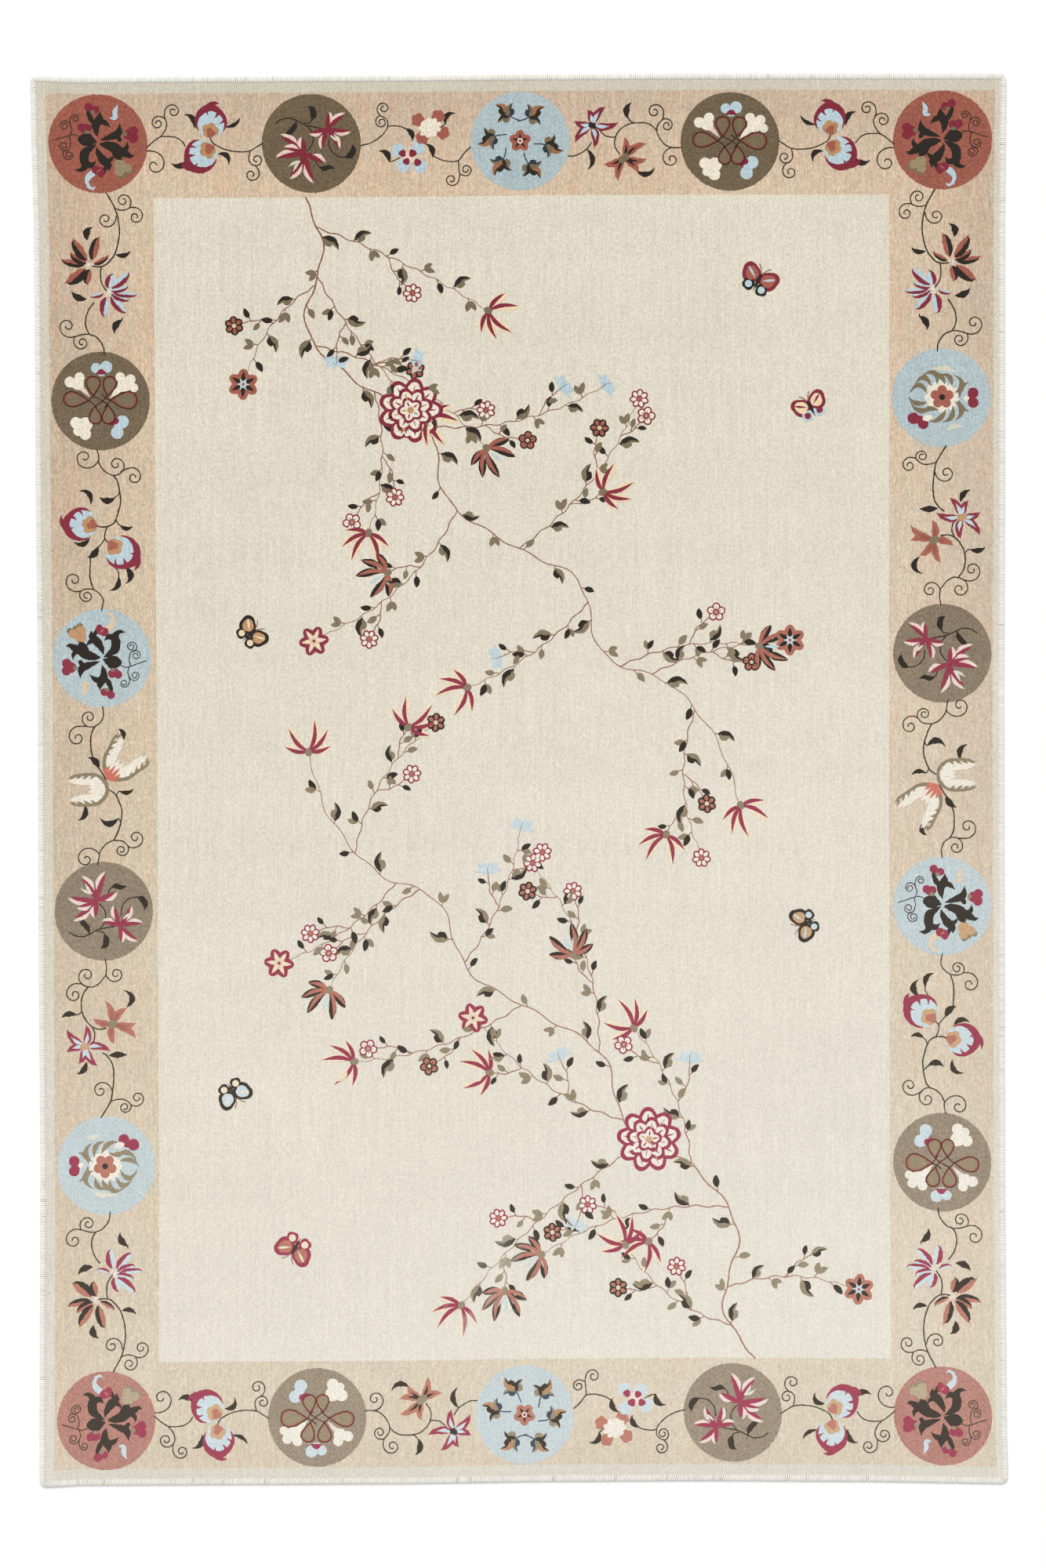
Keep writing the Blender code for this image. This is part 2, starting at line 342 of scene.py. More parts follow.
def yarn_material(name, colour, **finish):
    made, net, shader = new_material(name)
    pile_finish(net, shader, linear(colour), **finish)
    return made


GROUND = {
    "field": (226, 218, 200), "border_far": (212, 190, 164), "border_near": (205, 189, 160),
    "guard_ends": (209, 202, 184), "guard_sides": (216, 209, 193),
}


def ground_material():
    """The three plain grounds, by the place on the drawing, with slightly ragged joins."""
    made, net, shader = new_material("pile_ground")
    uv = net.node("ShaderNodeUVMap", uv_map="drawing")
    parts = net.node("ShaderNodeSeparateXYZ")
    net.put(parts.inputs[0], uv.outputs[0])
    ragged = net.noise(uv.outputs[0], 360, 1.0, 0.5)
    shift = net.spread(ragged, 0.3, 0.7, -0.0011, 0.0011)
    x = net.math("ADD", parts.outputs[0], shift)
    y = net.math("ADD", parts.outputs[1], shift)

    def inside(span_x, span_y):
        found = []
        for value, (low, high) in ((x, span_x), (y, span_y)):
            middle, half = (low + high) / 2 * MM, (high - low) / 2 * MM
            away = net.math("ABSOLUTE", net.math("SUBTRACT", value, middle))
            found.append(net.math("LESS_THAN", away, half))
        return net.math("MULTIPLY", *found)

    def depth_in(span_x, span_y):
        found = []
        for value, (low, high) in ((x, span_x), (y, span_y)):
            middle, half = (low + high) / 2 * MM, (high - low) / 2 * MM
            away = net.math("ABSOLUTE", net.math("SUBTRACT", value, middle))
            found.append(net.math("SUBTRACT", half, away))
        return net.math("MINIMUM", *found)

    ends, sides, far, near, middle = (
        linear(GROUND[k]) for k in ("guard_ends", "guard_sides", "border_far", "border_near", "field")
    )
    down = net.spread(parts.outputs[1], 1.3, -1.3, 0.0, 1.0)
    guard = net.mix(inside(BORDER_X, (-2000.0, 2000.0)), sides, ends)
    colour = net.mix(inside(BORDER_X, BORDER_Y), guard, net.mix(down, far, near))
    # the border's dye lies in uneven upright streaks
    where = net.node("ShaderNodeTexCoord").outputs["Object"]
    dye = net.noise(where, 75, 2.0, 0.6, (1.0, 0.04, 1.0))
    fine = net.noise(where, 300, 1.0, 0.5, (1.0, 0.04, 1.0))
    patches = net.noise(where, 7, 2.0, 0.5)
    deep = net.math("MULTIPLY", net.spread(dye, 0.35, 0.7, 0.0, 1.0), net.spread(patches, 0.35, 0.7, 0.0, 0.6))
    deep = net.math("ADD", deep, net.spread(fine, 0.42, 0.66, 0.0, 0.55), clamp=True)
    deep = net.math("MULTIPLY", deep, net.spread(down, 0.0, 1.0, 1.0, 0.55))
    deep = net.math("MULTIPLY", deep, inside(BORDER_X, BORDER_Y))
    colour = net.mix(deep, colour, linear((216, 178, 146)))
    # its grain is coarser than the field's, in short upright stitches
    grain = net.noise(where, 270, 2.0, 0.6, (1.0, 0.5, 1.0))
    stitches = net.noise(where, 300, 1.0, 0.5, (1.0, 0.10, 1.0))
    tone = net.math("MULTIPLY", net.spread(grain, 0.3, 0.7, 0.84, 1.16), net.spread(stitches, 0.3, 0.7, 0.93, 1.07))
    # and it is deeper along the outer side, most of all towards the far end
    rim = net.spread(depth_in(BORDER_X, BORDER_Y), 0.03, 0.17, 0.0, 1.0)
    outer = net.mix(net.spread(parts.outputs[1], 0.9, -0.9, 0.0, 1.0), (0.905, 0.94, 0.995, 1), (1.0, 1.0, 1.02, 1))
    tint = net.mix(rim, outer, (1.025, 1.075, 1.11, 1))
    tint = net.mix(1.0, tint, shade(net, tone), "MULTIPLY")
    tint = net.mix(inside(BORDER_X, BORDER_Y), (1.0, 1.0, 1.0, 1), tint)
    colour = net.mix(1.0, colour, tint, "MULTIPLY")
    colour = net.mix(inside(FIELD_X, FIELD_Y), colour, middle)
    pile_finish(net, shader, colour, heather=0.15, painted_sheen_ramp=GROUND_PAINTED_SHEEN_RAMP, slant=0.38)
    return made


def back_material():
    """The woven back: plain even rows of knots."""
    made, net, shader = new_material("woven_back")
    where = net.node("ShaderNodeTexCoord").outputs["Object"]
    across = net.node("ShaderNodeTexWave", wave_type="BANDS", bands_direction="Y")
    net.put(across.inputs["Vector"], where)
    across.inputs["Scale"].default_value = 110
    across.inputs["Distortion"].default_value = 1.2
    down = net.node("ShaderNodeTexWave", wave_type="BANDS", bands_direction="X")
    net.put(down.inputs["Vector"], where)
    down.inputs["Scale"].default_value = 150
    down.inputs["Distortion"].default_value = 0.8
    mixed = net.math("MULTIPLY", across.outputs[1], down.outputs[1])
    colour = net.mix(mixed, linear((176, 164, 140)), linear((214, 203, 180)))
    net.put(shader.inputs["Base Color"], colour)
    net.put(shader.inputs["Roughness"], net.spread(mixed, 0, 1, 0.98, 0.86))
    bump = net.node("ShaderNodeBump")
    bump.inputs["Strength"].default_value = 0.6
    bump.inputs["Distance"].default_value = 0.0008
    net.put(bump.inputs["Height"], mixed)
    net.put(shader.inputs["Normal"], bump.outputs[0])
    return made


def edge_material():
    """Off-white wool yarn: each turn of a slightly different tone, with painted shade along its flanks where the turns
    meet, and fine plies.
    """
    made, net, shader = new_material("edge_wool")
    where = net.node("ShaderNodeTexCoord").outputs["Object"]
    # the tone attribute: each turn's own tone times the painted shade at its flanks
    tone = net.node("ShaderNodeAttribute", attribute_name="tone").outputs["Fac"]
    fibre = net.noise(where, 900, 2.0, 0.6)
    soft = net.noise(where, 60, 2.0, 0.5)
    value = net.math("MULTIPLY", net.spread(fibre, 0.3, 0.7, 0.95, 1.05), tone)
    value = net.math("MULTIPLY", value, net.spread(soft, 0.3, 0.7, 0.97, 1.03))
    colour = net.mix(1.0, linear((247, 245, 237)), shade(net, value), "MULTIPLY")
    net.put(shader.inputs["Base Color"], colour)
    net.put(shader.inputs["Roughness"], net.spread(fibre, 0.3, 0.7, 0.82, 0.98))
    shader.inputs["Sheen Weight"].default_value = 0.08
    shader.inputs["Specular IOR Level"].default_value = 0.15
    bump = net.node("ShaderNodeBump")
    bump.inputs["Strength"].default_value = 0.5
    bump.inputs["Distance"].default_value = 0.0005
    net.put(bump.inputs["Height"], fibre)
    net.put(shader.inputs["Normal"], bump.outputs[0])
    return made


def floor_material():
    made, net, shader = new_material("pale_floor")
    where = net.node("ShaderNodeTexCoord").outputs["Object"]
    grain = net.noise(where, 3.0, 2.0, 0.5)
    colour = net.mix(grain, (0.93, 0.93, 0.93, 1), (0.95, 0.95, 0.95, 1))
    net.put(shader.inputs["Base Color"], colour)
    shader.inputs["Roughness"].default_value = 0.9
    shader.inputs["Specular IOR Level"].default_value = 0.0
    return made


def add_floor():
    half = 9000.0
    floor = mesh_object(
        "floor",
        [(-half, -half, -0.4), (half, -half, -0.4), (half, half, -0.4), (-half, half, -0.4)],
        [(0, 1, 2, 3)],
    )
    floor.data.materials.append(floor_material())


# --------------------------------------------------------------------- the cloth
def build_cloth():
    """One closed sheet: margin loops at the grid's rim, flat and creased inside."""
    insets = [row[0] for row in MARGIN] + [FLAT_FROM]

    def lines(half, pitch):
        inner = half - FLAT_FROM
        count = round(2 * inner / pitch)
        mid = [-inner + 2 * inner * i / count for i in range(1, count)]
        low = [-half + inset for inset in insets]
        return low + mid + [-v for v in reversed(low)]

    xs, ys = lines(HALF_X, 24.0), lines(HALF_Y, 11.0)
    nx, ny = len(xs), len(ys)

    def depth_of(x, y):
        inset = min(HALF_X - abs(x), HALF_Y - abs(y))
        rows = MARGIN + [(FLAT_FROM, 0.0, PILE_TOP)]
        if inset >= FLAT_FROM - 0.01:
            return 0.0, PILE_TOP
        for (a, ua, ta), (b, ub, tb) in zip(rows, rows[1:]):
            if inset <= b + 0.01:
                t = max(0.0, (inset - a) / (b - a))
                return ua + (ub - ua) * t, ta + (tb - ta) * t
        return 0.0, PILE_TOP

    verts, drawn = [], []
    for side in (1, 0):
        for y in ys:
            for x in xs:
                px, py = x, y
                if abs(x) > HALF_X - 3.5 and abs(y) > HALF_Y - 3.5:
                    px = math.copysign(HALF_X - 6.4, x)
                    py = math.copysign(HALF_Y - 6.4, y)
                under, top = depth_of(x, y)
                z = top if side else under
                if side and top > 6.0:
                    z -= sunk(x, y)
                verts.append((*uneven(px, py), z))
                drawn.append((px * MM, py * MM))
    faces, looks = [], []
    base = nx * ny
    for j in range(ny - 1):
        for i in range(nx - 1):
            a, b = j * nx + i, j * nx + i + 1
            c, d = (j + 1) * nx + i + 1, (j + 1) * nx + i
            faces.append((a, b, c, d))
            looks.append(0)
            faces.append((base + d, base + c, base + b, base + a))
            looks.append(1)
    rim = (
        [i for i in range(nx)]
        + [j * nx + nx - 1 for j in range(1, ny)]
        + [(ny - 1) * nx + i for i in range(nx - 2, -1, -1)]
        + [j * nx for j in range(ny - 2, 0, -1)]
    )
    for a, b in zip(rim, rim[1:] + rim[:1]):
        faces.append((a, base + a, base + b, b))
        looks.append(1)
    cloth = mesh_object("cloth", verts, faces)
    mesh = cloth.data
    mesh.materials.append(ground_material())
    mesh.materials.append(back_material())
    for polygon, look in zip(mesh.polygons, looks):
        polygon.material_index = look
    uv = mesh.uv_layers.new(name="drawing")
    flat = []
    for loop in mesh.loops:
        flat.extend(drawn[loop.vertex_index])
    uv.data.foreach_set("uv", flat)
    return cloth


# ----------------------------------------------------------------- the edge yarn
# the path of one turn of yarn round the edge: (inset, up)
TURN_PATH = [(13.4, 5.2), (12.6, 6.9), (10.2, 7.6), (7.2, 7.75), (4.2, 7.35), (1.6, 6.0),
             (0.55, 3.9), (1.5, 1.7), (4.3, 0.45), (9.8, 0.35), (12.8, 1.1), (13.4, 2.2)]
TURN_THICK = 0.42  # the yarn's half thickness over this path
PITCH = 4.4


def edge_place(side, along, inset):
    """Nominal place at a distance along a side, bending round half of each corner.

    along runs from one corner diagonal to the other."""
    half = {"near": HALF_X, "far": HALF_X, "left": HALF_Y, "right": HALF_Y}[side]
    other = HALF_X + HALF_Y - half
    arc = CORNER * math.pi / 4
    straight = 2 * (half - CORNER)
    radius = max(CORNER - inset, 0.6)
    if along < arc:
        turn = -math.pi / 4 + along / CORNER
        u, v = -(half - CORNER) + radius * math.sin(turn), -(other - CORNER) - radius * math.cos(turn)
    elif along > arc + straight:
        turn = (along - arc - straight) / CORNER
        u, v = (half - CORNER) + radius * math.sin(turn), -(other - CORNER) - radius * math.cos(turn)
    else:
        u, v = -(half - CORNER) + along - arc, -other + inset
    if side == "near":
        return u, v
    if side == "right":
        return -v, u
    if side == "far":
        return -u, -v
    return v, -u


def build_edge(side, look):
    half = HALF_X if side in ("near", "far") else HALF_Y
    total = 2 * (half - CORNER) + CORNER * math.pi / 2
    count = round(total / PITCH)
    pitch = total / count
    verts, faces, turn_tone_and_gap_shade = [], [], []
    lean = {"near": 2.6, "far": 1.4, "left": 1.2, "right": 1.2}[side]
    loose = {"near": 0.05, "far": 0.02, "left": 0.02, "right": 0.02}[side]
    drift = 0.0
    for k in range(count):
        drift = 0.8 * drift + rng.uniform(-0.10, 0.10)
        middle = (k + 0.5) * pitch + drift
        wide = pitch * (1.10 + rng.uniform(-0.06, 0.06))
        if rng.random() < loose:
            wide *= rng.uniform(0.72, 0.90)
        tall = rng.uniform(-0.16, 0.22)
        slant = lean * rng.uniform(0.75, 1.25)
        tone = rng.uniform(0.955, 1.02)
        base = len(verts)
        last = len(TURN_PATH) - 1
        for i, (inset, up) in enumerate(TURN_PATH):
            before, after = TURN_PATH[max(i - 1, 0)], TURN_PATH[min(i + 1, last)]
            way = complex(after[0] - before[0], after[1] - before[1])
            out = way / abs(way) * -1j  # outwards from the section's middle
            centre = complex(inset, up)
            if (centre - complex(8, 4)).real * out.real + (centre - complex(8, 4)).imag * out.imag < 0:
                out = -out
            t = i / last
            along = middle + slant * (0.5 - min(t / 0.5, 1.0)) * (1 if t < 0.5 else 0.6)
            swell = (0.55 + 0.45 * math.sin(math.pi * min(max(t, 0.04), 0.96)) ** 0.4)
            for offset, rise in ((-0.50, -0.9), (-0.34, 0.55), (0.0, 1.0), (0.34, 0.55), (0.50, -0.9)):
                p = centre + out * (TURN_THICK * rise * swell + (tall * 0.5 if 0 < i < last else 0))
                up_z = max(p.imag, 0.05)
                spot = min(max(along + offset * wide * swell, 0.02), total - 0.02)
                x, y = edge_place(side, spot, max(p.real, 0.05))
                verts.append((*uneven(x, y), up_z))
                # each turn's flanks are darkened to 0.93: painted shade in the gaps between turns
                turn_tone_and_gap_shade.append(tone * (0.93 if offset in (-0.5, 0.5) else 1.0))
        for i in range(last):
            for j in range(5):
                a, b = base + i * 5 + j, base + i * 5 + (j + 1) % 5
                faces.append((a, b, b + 5, a + 5))
        faces.append(tuple(base + j for j in range(4, -1, -1)))
        faces.append(tuple(base + last * 5 + j for j in range(5)))
    made = mesh_object("overcast_" + side, verts, faces)
    store = made.data.attributes.new("tone", "FLOAT", "POINT")
    store.data.foreach_set("value", turn_tone_and_gap_shade)
    made.data.materials.append(look)
    fix_normals(made)
    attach(made, "root")
    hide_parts("edge_yarn_" + side)
    return made


def fix_normals(made):
    import bmesh

    bm = bmesh.new()
    bm.from_mesh(made.data)
    bmesh.ops.recalc_face_normals(bm, faces=bm.faces)
    bm.to_mesh(made.data)
    bm.free()

# ------------------------------------------------------------------ the drawing
# The pattern is drawn on the flat nominal rug, in millimetres, with complex
# numbers for places: +1 is right and +1j is up the rug. A shape is
#   (yarn, level, "strip", left side, right side)   a band between two lines, or
#   (yarn, level, "fan", centre, ring)              a round shape about a centre.
# A level says what lies over what.

DISC_R = 101.5
PX = 1.612


def polar(radius, degrees):
    return cmath.rect(radius, math.radians(degrees))


def moved(shapes, at=0j, turn=0.0, size=1.0, flip=False, swap=None, lift=0):
    """Shapes turned, sized, mirrored about the local X axis if flip, and placed."""
    spin = polar(size, turn)

    def go(p):
        return at + spin * (p.conjugate() if flip else p)

    out = []
    for yarn, level, kind, a, b in shapes:
        if swap:
            yarn = swap.get(yarn, yarn)
        if kind == "strip":
            out.append((yarn, level + lift, kind, [go(p) for p in a], [go(p) for p in b]))
        else:
            out.append((yarn, level + lift, kind, go(a), [go(p) for p in b]))
    return out


def between(shapes, end, start_at, end_at, flip=False):
    """Shapes drawn from 0 to end, fitted from one place to another."""
    if flip:
        end = end.conjugate()
    ratio = (end_at - start_at) / end
    return moved(
        shapes, start_at, math.degrees(cmath.phase(ratio)), abs(ratio), flip
    )


def smooth(points, step=4.0, closed=False):
    """A smooth line through points, with a place about every step."""
    pts = list(points)
    n = len(pts)
    if n < 3 and not closed:
        count = max(1, round(abs(pts[-1] - pts[0]) / step))
        return [pts[0] + (pts[-1] - pts[0]) * i / count for i in range(count + 1)]
    fine = []
    spans = n if closed else n - 1
    for i in range(spans):
        if closed:
            p0, p1, p2, p3 = (pts[(i + k - 1) % n] for k in range(4))
        else:
            p1, p2 = pts[i], pts[i + 1]
            p0 = pts[i - 1] if i else 2 * p1 - p2
            p3 = pts[i + 2] if i + 2 < n else 2 * p2 - p1
        for k in range(12):
            t = k / 12
            fine.append(
                0.5
                * (
                    2 * p1
                    + (p2 - p0) * t
                    + (2 * p0 - 5 * p1 + 4 * p2 - p3) * t * t
                    + (3 * p1 - p0 - 3 * p2 + p3) * t * t * t
                )
            )
    fine.append(pts[0] if closed else pts[-1])
    lengths = [0.0]
    for a, b in zip(fine, fine[1:]):
        lengths.append(lengths[-1] + abs(b - a))
    count = max(2, round(lengths[-1] / step))
    out, at = [], 0
    for i in range(count + 1):
        want = lengths[-1] * i / count
        while at < len(fine) - 2 and lengths[at + 1] < want:
            at += 1
        gap = lengths[at + 1] - lengths[at]
        t = 0 if gap < 1e-9 else (want - lengths[at]) / gap
        out.append(fine[at] + (fine[at + 1] - fine[at]) * t)
    return out


def band(line, yarn, level, width, wobble=0.18, taper=False):
    """A band of yarn along a line, a little uneven, as knots make it."""
    left, right = [], []
    last = len(line) - 1
    for i, p in enumerate(line):
        way = line[min(i + 1, last)] - line[max(i - 1, 0)]
        way = way / abs(way) if abs(way) > 1e-9 else 1 + 0j
        half = width / 2 * (1 + rng.uniform(-wobble, wobble))
        if taper:
            half *= 1 - 0.55 * i / last
        side = 1j * way
        slip = side * rng.uniform(-0.12, 0.12) * width
        left.append(p + side * half + slip)
        right.append(p - side * half + slip)
    return (yarn, level, "strip", left, right)


def stem(points, yarn="thread", width=2.4, level=2, step=4.0):
    return [band(smooth(points, step), yarn, level, width)]


def curl(start, heading, r0, turn, lead=0.0, r1=4.2, yarn="thread", width=2.4, level=2):
    """A tendril: a lead, then a spiral that tightens from r0 to r1 as it turns.
    turn is in degrees, positive to the left."""
    line = [start]
    at, way = start, math.radians(heading)
    if lead:
        steps = max(1, round(lead / 4))
        for _ in range(steps):
            at += cmath.rect(lead / steps, way)
            line.append(at)
    total = math.radians(abs(turn))
    sign = 1 if turn > 0 else -1
    done = 0.0
    while done < total:
        radius = r0 * (r1 / r0) ** (done / total)
        bit = min(3.4 / radius, 0.6)
        way += sign * bit / 2
        at += cmath.rect(radius * bit, way)
        way += sign * bit / 2
        done += bit
        line.append(at)
    return [band(line, yarn, level, width)]


def blade_lines(base, tip, width, bend=0.0, belly=0.45, hook=0.0, power=0.9):
    """Left, middle and right lines of a leaf or petal from base to tip.
    bend: how far its middle bows to the left, as a share of its length."""
    span = tip - base
    count = max(5, round(abs(span) / 3.6))
    k = math.log(0.5) / math.log(belly)
    left, mid, right = [], [], []
    for i in range(count + 1):
        t = i / count
        c = base + span * t + 1j * span * (bend * 4 * t * (1 - t) + hook * t**4)
        way = span + 1j * span * (bend * 4 * (1 - 2 * t) + 4 * hook * t**3)
        side = 1j * way / abs(way)
        half = width / 2 * max(math.sin(math.pi * t**k), 0.0) ** power
        half = max(half * (1 + rng.uniform(-0.07, 0.07)), 0.25)
        left.append(c + side * half)
        mid.append(c)
        right.append(c - side * half)
    return left, mid, right


def blade(base, tip, width, yarn, level=3, **how):
    left, _, right = blade_lines(base, tip, width, **how)
    return [(yarn, level, "strip", left, right)]


def split_blade(base, tip, width, left_yarn, right_yarn, level=3, **how):
    left, mid, right = blade_lines(base, tip, width, **how)
    return [
        (left_yarn, level, "strip", left, mid),
        (right_yarn, level, "strip", mid, right),
    ]


def wave_lobes(lobes, depth, phase=0.0, power=0.6):
    def wave(a):
        return 1 - depth + depth * abs(math.cos(lobes * (a - phase) / 2)) ** power

    return wave


def fan(centre, radius, yarn, level, wave=None, stretch=1.0, turn=0.0, rough=0.02, count=None):
    """A round shape. wave(angle) gives the radius's share; stretch is along its own X."""
    count = count or max(12, round(radius * 2 * math.pi / 3.6))
    spin = polar(1, turn)
    ring = []
    for i in range(count):
        a = 2 * math.pi * i / count
        r = radius * (wave(a) if wave else 1.0) * (1 + rng.uniform(-rough, rough))
        ring.append(centre + spin * complex(r * math.cos(a) * stretch, r * math.sin(a)))
    return [(yarn, level, "fan", centre, ring)]


def lobed(centre, radius, yarn, level, lobes, depth=0.22, turn=0.0, **how):
    count = max(lobes * 7, round(radius * 2 * math.pi / 3.4))
    return fan(centre, radius, yarn, level, wave_lobes(lobes, depth), turn=turn, count=count, **how)


def leaf(base, tip, width, yarn="ink", level=3, bend=0.14, stalk=None):
    """A small dark comma-shaped leaf on a thin stalk, its fine tip curved back."""
    span = tip - base
    bow = 1j * span * bend
    points = [
        base, base + span * 0.22 + bow * 0.9, base + span * 0.46 + bow * 1.35,
        base + span * 0.70 + bow * 1.15, base + span * 0.90 + bow * 0.35, tip - bow * 0.45,
    ]
    return ribbon(points, [1.8, width * 0.62, width * 0.98, width * 0.70, 3.6, 1.0], yarn, level)


# ----------------------------------------------------------- blossoms of the border
def ribbon(points, widths, yarn, level=3, wobble=0.06):
    """A band along a smooth line whose width changes from point to point; broad
    ends are rounded off."""
    line = smooth(points, 3.2)
    gaps = [0.0]
    for p, q in zip(points, points[1:]):
        gaps.append(gaps[-1] + abs(q - p))
    left, right = [], []
    last = len(line) - 1
    for i, p in enumerate(line):
        want = gaps[-1] * i / last
        k = 0
        while k < len(gaps) - 2 and gaps[k + 1] < want:
            k += 1
        t = min(1.0, (want - gaps[k]) / (gaps[k + 1] - gaps[k]))
        t = t * t * (3 - 2 * t)
        half = max(0.3, (widths[k] + (widths[k + 1] - widths[k]) * t) / 2 * (1 + rng.uniform(-wobble, wobble)))
        way = line[min(i + 1, last)] - line[max(i - 1, 0)]
        side = 1j * way / abs(way)
        left.append(p + side * half)
        right.append(p - side * half)
    out = [(yarn, level, "strip", left, right)]
    for end, width in ((line[0], widths[0]), (line[-1], widths[-1])):
        if width > 5:
            out += fan(end, width * 0.49, yarn, level, rough=0.03)
    return out


def cloud(lobes, yarn, level):
    """A shape of several round lobes: (place, radius)."""
    out = []
    for n, (c, r) in enumerate(lobes):
        out += fan(c, r, yarn, level, rough=0.035)
    return out


def pomegranate(at, aim, size=1.0, hand=1):
    """A split fruit: a deep red skin round its far side that ends in a curved horn, pale
    blue scallops within, an ochre and rust foot at the stem."""
    out = cloud([(24 + 14j, 17), (46 + 8j, 19), (52 - 12j, 17), (32 - 17j, 17), (14 - 12j, 13), (34 + 0j, 20),
                 (37 + 15j, 17), (53 - 2j, 17), (44 - 18j, 16), (20 + 4j, 18)], "sky", 3)
    out += ribbon(
        [12 - 29j, 26 - 35j, 42 - 35j, 57 - 28j, 68 - 14j, 70 + 2j, 62 + 18j, 48 + 30j, 32 + 34j, 17 + 29j],
        [1.5, 5, 10, 15, 17, 16, 12, 9, 6, 1.5], "maroon", 4,
    )
    out += ribbon([66 - 16j, 76 - 8j, 82 + 2j, 83 + 14j], [14, 13, 9, 1.2], "maroon", 4)
    out += ribbon([66 - 14j, 58 - 13j, 52 - 10j], [10, 4, 0.8], "maroon", 5)
    out += ribbon([60 + 14j, 53 + 11j, 47 + 6j], [10, 5, 0.8], "maroon", 5)
    out += ribbon([44 + 30j, 38 + 25j, 34 + 18j], [7, 4, 0.8], "maroon", 5)
    out += cloud([(16 + 9j, 10.5), (25 + 1j, 10), (20 - 11j, 9.5), (9 - 8j, 9), (12 + 0j, 12)], "ochre", 5)
    out += cloud([(10 + 5j, 7), (15 - 3j, 8), (5 - 2j, 6.5)], "rust", 6)
    return moved(out, at, aim, size, hand < 0)


def star_flower(at, petals, width, outer, inner, heart, heart_r=6.0, heart_turn=0.0, inner_w=0.5):
    """Pointed petals, each with a paler or darker core. petals: (degrees, length)."""
    out = []
    for i, (deg, length) in enumerate(petals):
        bow = 0.10 if i % 2 else -0.10
        aside = 1j * polar(length, deg) * bow
        out += ribbon(
            [at + polar(2, deg), at + polar(length * 0.40, deg) + aside,
             at + polar(length * 0.74, deg) + aside * 0.9, at + polar(length, deg)],
            [width * 0.45, width * 1.05, width * 0.72, 0.9], outer, 3,
        )
        out += ribbon(
            [at + polar(length * 0.14, deg), at + polar(length * 0.36, deg) + aside * 0.9,
             at + polar(length * 0.66, deg) + aside],
            [width * inner_w * 0.6, width * inner_w, 0.8], inner, 4,
        )
    out += fan(at, heart_r, heart, 5, wave_lobes(len(petals), 0.25), turn=heart_turn, stretch=1.5)
    return out


def split_flower(at, petals, near, far, pale="cream"):
    """Loose petals in two yarns with a pale line down to a bare hub.
    petals: (degrees, length, width, side)."""
    out = []
    for deg, length, width, side in petals:
        ahead = polar(length, deg)
        aside = 1j * ahead / abs(ahead) * side
        for yarn, level, off, wide, start, end in (
            (near, 3, 0.20, 0.86, 0.14, 1.0), (far, 4, -0.24, 0.62, 0.20, 0.93),
        ):
            drift = aside * width * off
            out += ribbon(
                [at + ahead * start, at + ahead * 0.42 + drift * 0.9 - aside * 1.5,
                 at + ahead * 0.66 + drift * 1.1 - aside * 0.5, at + ahead * 0.86 + drift * 0.8 + aside * 1.0,
                 at + ahead * end + aside * 4.0],
                [width * 0.24, width * wide, width * wide * 0.92, width * wide * 0.45, 0.9],
                yarn, level, wobble=0.14,
            )
        out += [band([at + polar(r, deg) for r in (2.0, length * 0.09, length * 0.2)],
                     pale, 4, 1.8)]
    return out


def spider_flower(at, petals, width=9.6, dark="maroon", light="blush"):
    """Long curved petals, deep red with a pale streak along one side to the tip.
    petals: (degrees, length)."""
    out = []
    for i, (deg, length) in enumerate(petals):
        side = 1 if i % 2 else -1
        aside = polar(width * 0.30, deg + 90 * side)
        bow = 1j * polar(length, deg) * 0.09 * side
        out += ribbon(
            [at, at + polar(length * 0.42, deg) + bow - aside * 0.6,
             at + polar(length * 0.72, deg) + bow - aside, at + polar(length * 0.90, deg) - aside * 0.8],
            [width * 0.45, width, width * 0.72, 1.0], dark, 3,
        )
        out += ribbon(
            [at + polar(length * 0.34, deg) + bow * 0.9 + aside * 0.5, at + polar(length * 0.62, deg) + bow + aside * 0.9,
             at + polar(length * 0.86, deg) + bow * 0.5 + aside * 0.4, at + polar(length, deg)],
            [1.2, width * 0.58, width * 0.46, 0.8], light, 4,
        )
    return out


def four_lobes(at, size, lobes, lobe_yarn, heart_yarn, heart_r, heart_lobes=8):
    """Four broad scalloped petals about a ragged pale heart. lobes: (degrees, reach)."""
    out = []
    for deg, reach in lobes:
        c = at + polar(reach, deg)
        out += fan(c, size, lobe_yarn, 3, wave_lobes(5, 0.26), turn=deg, stretch=0.92)
    out += fan(at, heart_r, heart_yarn, 4, wave_lobes(heart_lobes, 0.34), turn=22, stretch=1.2, rough=0.06)
    return out


